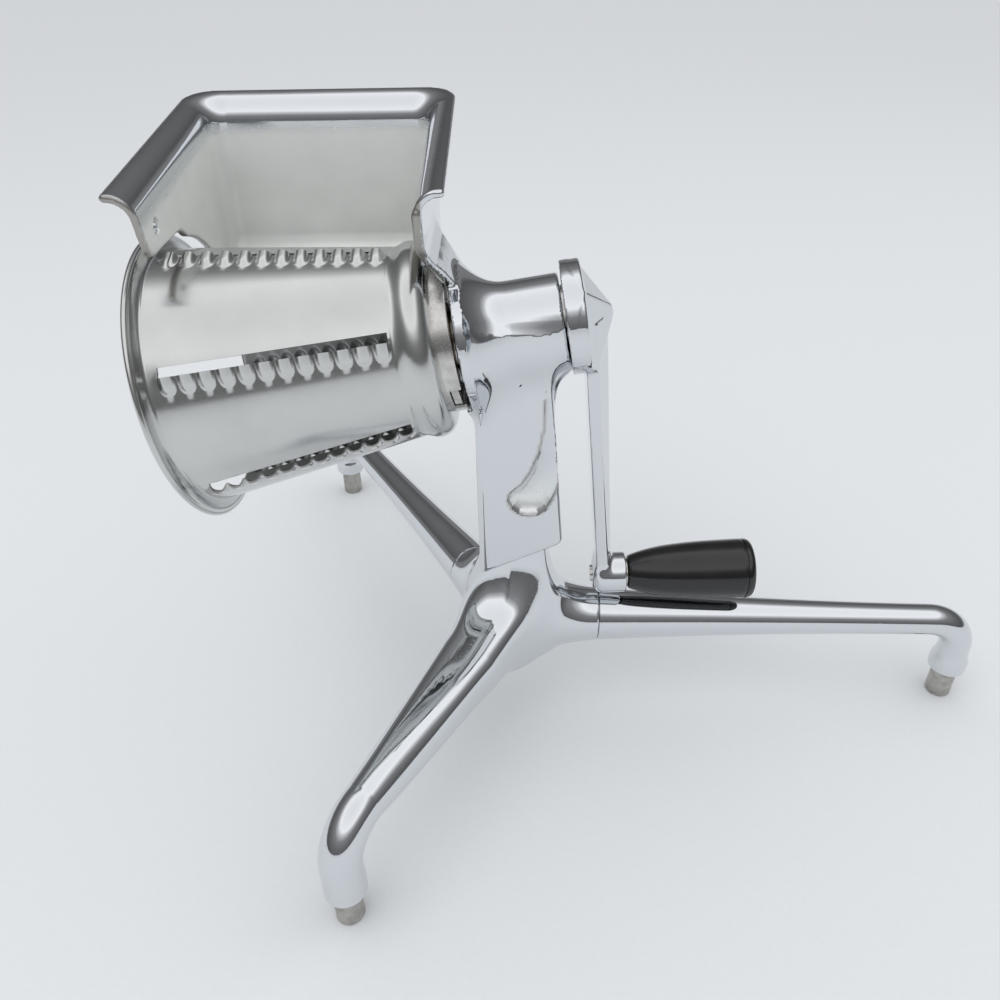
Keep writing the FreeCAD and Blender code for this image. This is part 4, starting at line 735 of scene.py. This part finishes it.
def chrome(name, hairlines, wave_size, wave_depth):
    """Bright decorative chrome plate.

    It mirrors the room, a little wavy where the buffing followed the metal, with hairlines and
    finger marks.  The share "satin" turns it into the milky grey of a surface that the buffing
    wheel couldn't reach: rougher, and with a pale, half diffuse tone that is partly painted sheen.
    The share "raw" turns it into the dull grey of a cast edge; along the scoop's edge that thin
    line is painted shade of the scoop's crease.
    """
    material, tree, shader = new_material(name, "#DDE0E3", 1.0, 0.05)
    satin, raw_edge_and_crease_shade = [node(tree, "Attribute", "Fac", attribute_name=share)
                  for share in ("satin", "raw_edge_and_crease_shade")]
    lines = node(tree, "Math", "Value", [scratches(tree, *line) for line in hairlines],
                 operation="ADD")
    marks = node(tree, "MapRange", "Result", (grain(tree, 16.0, 4.0), 0.45, 0.72, 0.03, 0.10))
    bright = node(tree, "Math", "Value", (lines, 0.14, marks), operation="MULTIPLY_ADD")
    cloud = grain(tree, 14.0, 4.0)
    dull = node(tree, "MapRange", "Result", (cloud, 0.3, 0.7, 0.38, 0.48))
    rough = node(tree, "Mix", "Result", {"Factor": satin, "A": bright, "B": dull})
    rough = node(tree, "Mix", "Result", {"Factor": raw_edge_and_crease_shade, "A": rough, "B": 0.36})
    tree.links.new(rough, shader.inputs["Roughness"])
    # Satin is half metal with a pale tone: a rougher finish, and partly a painted sheen
    metal = node(tree, "MapRange", "Result", (satin, 0.0, 1.0, 1.0, 0.5))
    tree.links.new(metal, shader.inputs["Metallic"])
    milky = node(tree, "Mix", 2, {0: cloud, 6: colour("#EDEEEB"), 7: colour("#DFE1DE")},
                 data_type="RGBA")
    tone = node(tree, "Mix", 2, {0: satin, 6: colour("#DDE0E3"), 7: milky}, data_type="RGBA")
    # Dull grey: a cast edge, and along the scoop's edge a painted shade line for its crease
    tone = node(tree, "Mix", 2, {0: raw_edge_and_crease_shade, 6: tone, 7: colour("#A9A7A2")}, data_type="RGBA")
    tree.links.new(tone, shader.inputs["Base Color"])
    bumped(tree, shader, (grain(tree, wave_size, 1.0), wave_depth), (lines, 0.002))
    return material


def drum_steel():
    """Stainless sheet, spun and tumbled: a fine speckled satin.

    The share "rubbed" makes the teeth brighter, and "inside" makes the inner face rougher and
    darker; the darker tone is painted shade inside the drum.
    """
    material, tree, shader = new_material("tumbled_stainless_sheet", "#D2D3D2", 1.0, 0.3)
    speckle, cloud = grain(tree, 0.5, 2.0), grain(tree, 18.0, 4.0)
    rubbed, inside = [node(tree, "Attribute", "Fac", attribute_name=share)
                      for share in ("rubbed", "inside")]
    rough = node(tree, "MapRange", "Result", (speckle, 0.3, 0.7, 0.14, 0.21))
    rough = node(tree, "Mix", "Result", {"Factor": rubbed, "A": rough, "B": 0.12})
    rough = node(tree, "Mix", "Result", {"Factor": inside, "A": rough, "B": 0.42})
    tree.links.new(rough, shader.inputs["Roughness"])
    tone = node(tree, "Mix", 2, {0: cloud, 6: colour("#D8D9D7"), 7: colour("#C6C7C6")},
                data_type="RGBA")
    # Darker inner face: painted shade inside the drum
    tone = node(tree, "Mix", 2, {0: inside, 6: tone, 7: colour("#9B9C9B")}, data_type="RGBA")
    tree.links.new(tone, shader.inputs["Base Color"])
    bumped(tree, shader, (grain(tree, 24.0, 1.0), 0.06), (speckle, 0.004))
    return material


# Buffed iron castings and bright-drawn steel bars, both chrome plated
CHROME = chrome("decorative_chrome_on_cast_iron",
                ((0.9, 0.04, (10, 20, 35), 0.63, 0.70), (0.8, 0.05, (70, 10, 120), 0.64, 0.71)),
                13.0, 0.06)
BAR_CHROME = chrome("decorative_chrome_on_steel_bar",
                    ((0.8, 0.04, (0, 5, 8), 0.64, 0.71), (0.8, 0.05, (60, 20, 100), 0.66, 0.72)),
                    18.0, 0.04)
DRUM = drum_steel()
# Steel turned on a lathe and worn by its neighbour, with rings left by the tool
TURNED = worn("turned_bright_steel", 1.0, ("#D6D5D2", "#BFBDB9"), (0.15, 0.26), 5.0,
              (0.45, 0.12, (0, 0, 90), 0.55, 0.66), (0.006, 0.005))
# Bare mild steel pegs, rubbed dull by the table
PEG = worn("bare_mild_steel", 1.0, ("#B9B7B2", "#A09D97"), (0.28, 0.42), 4.0,
           (0.5, 0.1, (0, 90, 0), 0.55, 0.66), (0.01, 0.006))
# Oiled sintered bronze, darker where the oil has aged
BRONZE = worn("oiled_bearing_bronze", 1.0, ("#B08C55", "#80633A"), (0.24, 0.40), 3.0,
              (0.4, 0.2, (0, 0, 90), 0.55, 0.66), (0.01, 0.004))
# Phenolic plastic, moulded black and glossy, with wiping marks
PHENOLIC = worn("moulded_black_phenolic", 0.0, ("#121213", "#161617"), (0.08, 0.20), 9.0,
                (0.6, 0.05, (20, 12, 15), 0.63, 0.71), (0.02, 0.003), ior=1.58)


# ---- castings ----

def body_finish(points):
    """Satin inside the hopper below the bend of its rim and in the scoop's lower end.

    The satin is partly a painted sheen in its pale tone.  Raw along the hopper's trimmed front
    edges, and a thin line of the same dull grey along the scoop's edge that is painted shade of
    its crease.
    """
    x, y, z = points.T
    out, depth = hopper_out(x, y, z, CORNER_RADIUS)
    in_hopper = (z > RAMP_BOTTOM) & (x < HOPPER_RIGHT + HOPPER_WALL)
    # Satin inside the hopper: rougher, with a pale tone that is partly painted sheen
    satin = smooth(depth, 7.5, 14.0) * (1 - smooth(out, 0.3, 1.0)) * in_hopper
    raw_edge_and_crease_shade = smooth(hopper_trim(y, z), -1.0, -0.3) * in_hopper
    inside, post = scoop_inside(x, z), (y < -5.5) & (z < 168) & (z > POST_BOTTOM)
    low_end = smooth(inside, 0.6, 2.2) * (1 - smooth(z, 117.0, 137.0))
    satin = np.maximum(satin, 0.85 * low_end * post)
    # Thin dull grey line along the scoop's edge: painted shade of its crease
    raw_edge_and_crease_shade = np.maximum(raw_edge_and_crease_shade, 0.8 * (1 - smooth(np.abs(inside - 0.2), 0.3, 0.9)) * post)
    return satin, raw_edge_and_crease_shade


def base_finish(points):
    """The tongue inside the post stays dull."""
    return smooth(points[:, 2], 102.0, 106.0), np.zeros(len(points))


def crank_finish(points):
    """Bright all over."""
    return np.zeros((2, len(points)))


cast_piece("chromed_body", body_field, (-118, -42, 82), (42, 80, 262), 1.0, body_finish,
           body="root", slot="chrome_casting", material=CHROME, replaced=["body_casting"])
cast_piece("chromed_base", base_field, (-62, -124, 10), (60, 46, 115), 0.85, base_finish,
           body="root", slot="chrome_casting", material=CHROME, replaced=["base_casting"])
cast_piece("chromed_crank", crank_field, (26, -23, 64), (72, 23, 218), 0.6, crank_finish,
           body="rotor", slot="chrome_casting", material=CHROME, replaced=["crank_arm"])


# ---- legs ----

def leg_bar(side):
    """Bar from its seam at the hub: a sloping line, a quarter bend and an upright end.

    Rings of points stand square to the middle line; a rounded seam and a bored foot close it.
    """
    flat, knee, start = leg_bend(LEG_REACH)
    line = np.concatenate([[ROOT_DISTANCE], ROOT_DISTANCE + (start - ROOT_DISTANCE)
                           * np.linspace(0, 1, 60)])
    line_z = LEG_HEIGHT - line * math.tan(LEG_SLOPE)
    radii = curve(line, LEG_PLACES, LEG_RADII)
    radii[0] -= 0.5
    line[1] += 0.4
    turn = np.linspace(LEG_SLOPE, math.pi / 2, 26)[1:-1]
    bend, bend_z = flat + LEG_BEND * np.sin(turn), knee + LEG_BEND * np.cos(turn)
    end_z = np.concatenate([np.linspace(knee, LEG_END_HEIGHT + 1.2, 16),
                            [LEG_END_HEIGHT + 0.4, LEG_END_HEIGHT]])
    thin = LEG_RADII[-1]
    end_radii = thin + (LEG_END_RADIUS - thin) * smooth(knee - end_z, 2.0, 8.0)
    end_radii[-2:] -= (0.25, 1.0)
    upright = np.full(len(end_z) + 2, LEG_REACH)
    middle = np.concatenate([line, bend, upright])
    middle_z = np.concatenate([line_z, bend_z, end_z, [LEG_END_HEIGHT, PEG_TOP]])
    radii = np.concatenate([radii, np.full(len(turn), thin), end_radii, [PEG_BORE, PEG_BORE]])
    tilt = np.concatenate([np.full(len(line), LEG_SLOPE), turn, 0 * upright + math.pi / 2])
    around = np.linspace(0, 2 * math.pi, 64, endpoint=False)[None, :]
    across, over = radii[:, None] * np.cos(around), radii[:, None] * np.sin(around)
    along = middle[:, None] + over * np.sin(tilt)[:, None]
    high = middle_z[:, None] + over * np.cos(tilt)[:, None]
    none = np.zeros_like(around)
    points = np.concatenate([from_leg(none + ROOT_DISTANCE, none, none + line_z[0], side),
                             from_leg(along, across, high, side),
                             from_leg(none + LEG_REACH, none, none + PEG_TOP, side)])
    quads = grid_quads(len(points), 64, False, True)
    mesh = closed(new_mesh(side + "_leg_bar", points.reshape(-1, 3), quads))
    dressed(side + "_leg_bar", mesh, "root", "chrome_casting", BAR_CHROME, [side + "_leg"], 40)


for leg_side in ("right", "rear"):
    leg_bar(leg_side)


# ---- drum ----

def drum_profile():
    """Outside of the sheet from the hole in its closed end, over the shoulder, down the cone
    and out to the rolled bead of its mouth, with the inside's offset at each point."""
    flat = SHOULDER_RADIUS - SHOULDER_ROUND
    radius = np.linspace(DRUM_HOLE, flat, 12)
    end = np.stack([np.full_like(radius, DRUM_END), radius], 1)
    turn = np.linspace(0, math.pi / 2, 11)[1:]
    round_ = np.stack([DRUM_END - SHOULDER_ROUND * (1 - np.cos(turn)),
                       flat + SHOULDER_ROUND * np.sin(turn)], 1)
    fall = np.linspace(DRUM_END - SHOULDER_ROUND, TEETH_END + 0.3, 9)[1:]
    shoulder = np.stack([fall, SHOULDER_RADIUS + (DRUM_SMALL - 0.25 - SHOULDER_RADIUS)
                         * smooth(-fall, 19.0, 24.2)], 1)
    body = TEETH_END - TOOTH_PITCH * np.linspace(0, TEETH, TEETH * 14 + 1)
    body = np.append(body, DRUM_MOUTH + RIM_WIDTH + 1.2)
    cone = np.stack([body, drum_radius(body)], 1)
    foot, top = DRUM_MOUTH + RIM_WIDTH + 0.9, DRUM_MOUTH + 2 * BEAD - 0.15
    step = np.linspace(foot, top, 10)
    band = np.stack([step, drum_radius(foot) + (RIM_RADIUS - 1.8 * BEAD - drum_radius(foot))
                     * ((foot - step) / (foot - top)) ** 2.2], 1)
    turn = np.linspace(-0.35, math.pi + 0.9, 12)
    bead = np.stack([DRUM_MOUTH + BEAD + BEAD * np.cos(turn),
                     RIM_RADIUS - BEAD + BEAD * np.sin(turn)], 1)
    return np.concatenate([end, round_, shoulder, cone, band, bead])


def drum_mesh():
    """Sheet of the drum on a grid of stations and turns, with its slots open.

    In each of the rows the grid follows the cutting edge: SLOT_WIDTH before it is open, and
    over the TOOTH_LENGTH behind it each tooth is pressed out as a scallop.  With the share s
    from 0 at the root to 1 at the edge, t from a tooth's middle, w = TOOTH_HALF and
    q = (t / w)^2 + (1 - s)^4, the sheet is lifted by LIP_HEIGHT s^2 + TOOTH_HEIGHT
    (0.55 + 0.45 s) m^2 (3 - 2m), where m = 1 - q, and nought where q is over 1.
    """
    profile = drum_profile()
    slope = np.gradient(profile, axis=0)
    slope /= np.linalg.norm(slope, axis=1)[:, None]
    outward = np.stack([slope[:, 1], -slope[:, 0]], 1)
    along, radius = profile[:, :1], profile[:, 1:]
    gauge = np.maximum(radius, DRUM_SMALL)
    slot = np.linspace(-SLOT_WIDTH, 0, 3)[:-1]
    lip = TOOTH_LENGTH * np.linspace(0, 1, 13)[:-1]
    plain = np.linspace(0, 1, 17)[:-1]
    sector = 2 * math.pi / ROWS
    columns = []
    root, edge = TOOTH_LENGTH / gauge, sector - SLOT_WIDTH / gauge
    for row in range(ROWS):
        first = ROW_ANGLE + row * sector
        columns += [first + a / gauge for a in slot] + [first + a / gauge for a in lip]
        columns += [first + root + (edge - root) * share for share in plain]
    turn = np.concatenate(columns, 1)
    per_row = len(slot) + len(lip) + len(plain)
    place = np.full(per_row, TOOTH_LENGTH)
    place[len(slot):len(slot) + len(lip)] = lip
    place = np.tile(place, ROWS)[None, :]
    share = 1 - place / TOOTH_LENGTH
    teeth_far = TEETH_END - TEETH * TOOTH_PITCH
    ends = smooth(along, teeth_far, teeth_far + 0.7)
    ends = ends * (1 - smooth(along, TEETH_END - 0.7, TEETH_END))
    middle = (((TEETH_END - along) / TOOTH_PITCH) % 1 - 0.5) * TOOTH_PITCH
    bump = smooth(1 - (middle / TOOTH_HALF) ** 2 - (1 - share) ** 4, 0.0, 1.0)
    lift = ends * (LIP_HEIGHT * share ** 2 + TOOTH_HEIGHT * (0.55 + 0.45 * share) * bump)
    reach = radius + lift * outward[:, 1:]
    station = along + lift * outward[:, :1]
    sheet = DRUM_SHEET * np.ones_like(radius)
    inner_reach = reach - sheet * outward[:, 1:]
    inner_station = station - sheet * outward[:, :1]
    sides = [from_shaft(s + 0 * turn, -r * np.sin(turn), r * np.cos(turn))
             for s, r in ((station, reach), (inner_station, inner_reach))]
    rows, columns = turn.shape
    points = np.concatenate([side.reshape(-1, 3) for side in sides])
    quads = grid_quads(rows, columns, False, True).reshape(rows - 1, columns, 4)
    open_columns = (np.arange(columns) % per_row) < len(slot)
    middle = (along[:-1, 0] + along[1:, 0]) / 2
    open_rows = (middle < TEETH_END - TOOTH_PITCH / 8) & (middle > teeth_far + TOOTH_PITCH / 8)
    kept = ~(open_rows[:, None] & open_columns[None, :])
    half = rows * columns
    walls = []
    beside = {(0, 1): kept & ~np.pad(kept, ((1, 0), (0, 0)))[:-1],
              (2, 3): kept & ~np.pad(kept, ((0, 1), (0, 0)))[1:],
              (3, 0): kept & ~np.roll(kept, 1, 1), (1, 2): kept & ~np.roll(kept, -1, 1)}
    for (a, b), here in beside.items():
        pair = quads[here][:, [a, b]]
        walls.append(np.stack([pair[:, 1], pair[:, 0], pair[:, 0] + half, pair[:, 1] + half], 1))
    faces = np.concatenate([quads[kept], quads[kept][:, ::-1] + half, *walls])
    used, faces = np.unique(faces, return_inverse=True)
    faces = faces.reshape(-1, 4)
    mesh = new_mesh("cutting_drum", points[used], faces)
    add_share(mesh, "rubbed", np.tile((smooth(lift, 0.8, 2.2) + 0 * turn).ravel(), 2)[used])
    # Inner face share: rougher, and darkened as painted shade inside the drum
    add_share(mesh, "inside", np.repeat([0.0, 1.0], half)[used])
    return mesh


dressed("cutting_drum", closed(drum_mesh()), "drum", "drum_steel", DRUM, ["drum"], sharp=45)


# ---- grip ----

def grip_profile():
    """Outline of the grip with its bore: radius 13.2 - 6.25 exp(-s / 15) at s from its start."""
    along = np.linspace(GRIP_START, GRIP_END, 60)
    radius = GRIP_RADIUS - GRIP_WAIST * np.exp((GRIP_START - along) / GRIP_SWELL)
    return [(GRIP_START, radius[0] - 0.8), (GRIP_START + 0.3, radius[0] - 0.15),
            *zip(along[1:-1], radius[1:-1]),
            (GRIP_END - 0.02, radius[-1] - 0.2), (GRIP_END, radius[-1] - 0.5),
            (GRIP_END, GRIP_BORE), (GRIP_START, GRIP_BORE)]


def cap_profile():
    """End cap of the grip: a fine groove, a rounded edge and a flat face."""
    turn = np.linspace(0, math.pi / 2, 9)
    edge = zip(GRIP_CAP_END - GRIP_CAP_ROUND * (1 - np.sin(turn)),
               GRIP_CAP_RADIUS - GRIP_CAP_ROUND * (1 - np.cos(turn)))
    return [(GRIP_END, GRIP_BORE), (GRIP_END, GRIP_CAP_RADIUS - 0.5),
            (GRIP_END + 0.4, GRIP_CAP_RADIUS - 0.5), (GRIP_END + 0.5, GRIP_CAP_RADIUS),
            *edge, (GRIP_CAP_END, GRIP_BORE)]


turned_piece("black_grip", grip_profile(), from_grip, 96, body="grip", slot="grip_plastic",
             material=PHENOLIC, replaced=["grip"])
turned_piece("black_grip_cap", cap_profile(), from_grip, 96, body="grip", slot="grip_plastic",
             material=PHENOLIC, replaced=["grip_cap"])


# ---- carried-over pieces ----

FINISHES = (
    (BRONZE, ("front_bush", "rear_bush")),
    (TURNED, ("hub_washer", "crank_washer", "drive_shaft", "drive_hub", "hub_pin", "drum_collar",
              "collar_rivets", "right_leg_stud", "rear_leg_stud", "post_screws",
              "crank_grub_screw", "grip_spindle", "grip_washer")),
    (PEG, ("front_foot_peg", "right_foot_peg", "rear_foot_peg")),
)
for finish, node_names in FINISHES:
    for node_name in node_names:
        slots = frame["nodes"][node_name].data.materials
        slots.clear()
        slots.append(finish)


# ---- floor, light and camera ----

def make_floor():
    """Plain pale floor: a wide disc of matt board with a very faint grain."""
    mesh = bpy.data.meshes.new("floor")
    turn, reach = np.linspace(0, 2 * math.pi, 96, endpoint=False), 14.0
    rim = np.stack([reach * np.cos(turn), reach * np.sin(turn), 0 * turn], 1)
    mesh.from_pydata(rim.tolist(), [], [list(range(96))])
    floor = bpy.data.objects.new("floor", mesh)
    bpy.context.scene.collection.objects.link(floor)
    material, tree, shader = new_material("matt_painted_board", "#C9CBCD", 0.0, 0.75)
    shader.inputs["IOR"].default_value = 1.45
    tone = node(tree, "Mix", 2, {0: grain(tree, 2.5, 3.0), 6: colour("#CBCDCF"),
                                 7: colour("#C7C9CB")}, data_type="RGBA")
    tree.links.new(tone, shader.inputs["Base Color"])
    mesh.materials.append(material)


def softbox(name, place, size, power):
    """Rectangular lamp of size (width, height) in metres, turned to the object's middle.

    Mirrors see the bright ceiling instead of it.
    """
    lamp = bpy.data.lights.new(name, "AREA")
    lamp.shape = "RECTANGLE"
    lamp.size, lamp.size_y = size
    lamp.energy = power
    item = bpy.data.objects.new(name, lamp)
    turn = (Vector((0.0, 0.0, 0.12)) - Vector(place)).to_track_quat("-Z", "Y")
    item.matrix_world = Matrix.Translation(place) @ turn.to_matrix().to_4x4()
    item.visible_glossy = False
    bpy.context.scene.collection.objects.link(item)


CEILING_LEAN = math.radians(15)
ROOM_LEVELS = ((0.0, 0.22), (0.12, 0.10), (0.40, 0.17), (0.60, 0.26), (0.72, 0.62), (0.80, 1.10),
               (1.0, 0.95))


def make_world():
    """Even pale light for matt surfaces; mirrors see a bright ceiling over a darker room.

    The level in a mirror goes by the cosine of the angle from the ceiling's middle, which lies
    CEILING_LEAN in front of the zenith.  Past the floor's edge the camera meets a pale grey.
    """
    world = bpy.data.worlds.new("studio")
    bpy.context.scene.world = world
    world.use_nodes = True
    tree = world.node_tree
    tree.nodes.clear()
    where = node(tree, "TexCoord", "Generated")
    middle = (0.0, -math.sin(CEILING_LEAN), math.cos(CEILING_LEAN))
    cosine = node(tree, "VectorMath", "Value", (where, middle), operation="DOT_PRODUCT")
    room = node(tree, "ValToRGB", "Color", (cosine,))
    steps = room.node.color_ramp.elements
    steps[0].position, steps[1].position = ROOM_LEVELS[0][0], ROOM_LEVELS[-1][0]
    for position, _ in ROOM_LEVELS[1:-1]:
        steps.new(position)
    for step, (_, level) in zip(steps, ROOM_LEVELS):
        step.color = (level, level, level * 1.02, 1)
    light = node(tree, "Mix", 2, {0: node(tree, "LightPath", "Is Glossy Ray"),
                                  6: (1.12, 1.13, 1.15, 1.0), 7: room}, data_type="RGBA")
    light = node(tree, "Mix", 2, {0: node(tree, "LightPath", "Is Camera Ray"), 6: light,
                                  7: colour("#D0D3D6")}, data_type="RGBA")
    sky = node(tree, "Background", "Background", {"Color": light, "Strength": 1.0})
    node(tree, "OutputWorld", None, {"Surface": sky})


SENSOR = 36.0
FOCAL = 0.8632 * SENSOR
CAMERA_PLACE = np.array([10.35, -291.88, 320.51])
YAW, PITCH, ROLL = math.radians(0.619), math.radians(35.10), math.radians(1.050)


def make_camera():
    """Camera from its place, yaw to the left, fall and roll."""
    level = Vector((math.cos(YAW), math.sin(YAW), 0))
    ahead = Vector((-math.sin(YAW), math.cos(YAW), 0)) * math.cos(PITCH)
    ahead.z = -math.sin(PITCH)
    down = ahead.cross(level)
    right = level * math.cos(ROLL) + down * math.sin(ROLL)
    down = down * math.cos(ROLL) - level * math.sin(ROLL)
    lens = bpy.data.cameras.new("camera")
    lens.sensor_width = SENSOR
    lens.lens = FOCAL
    lens.clip_start = 0.01
    camera = bpy.data.objects.new("camera", lens)
    place = Vector((CAMERA_PLACE - ORIGIN * np.array([1, 1, 0])) * MM)
    turn = Matrix((right, -down, -ahead)).transposed()
    camera.matrix_world = Matrix.Translation(place) @ turn.to_4x4()
    bpy.context.scene.collection.objects.link(camera)
    bpy.context.scene.camera = camera


make_floor()
make_world()
softbox("key", (-0.55, -0.45, 1.30), (1.1, 0.9), 4.5)
softbox("fill", (0.95, 0.25, 1.10), (1.2, 1.2), 2.0)
make_camera()
bpy.context.scene.view_settings.view_transform = "Standard"
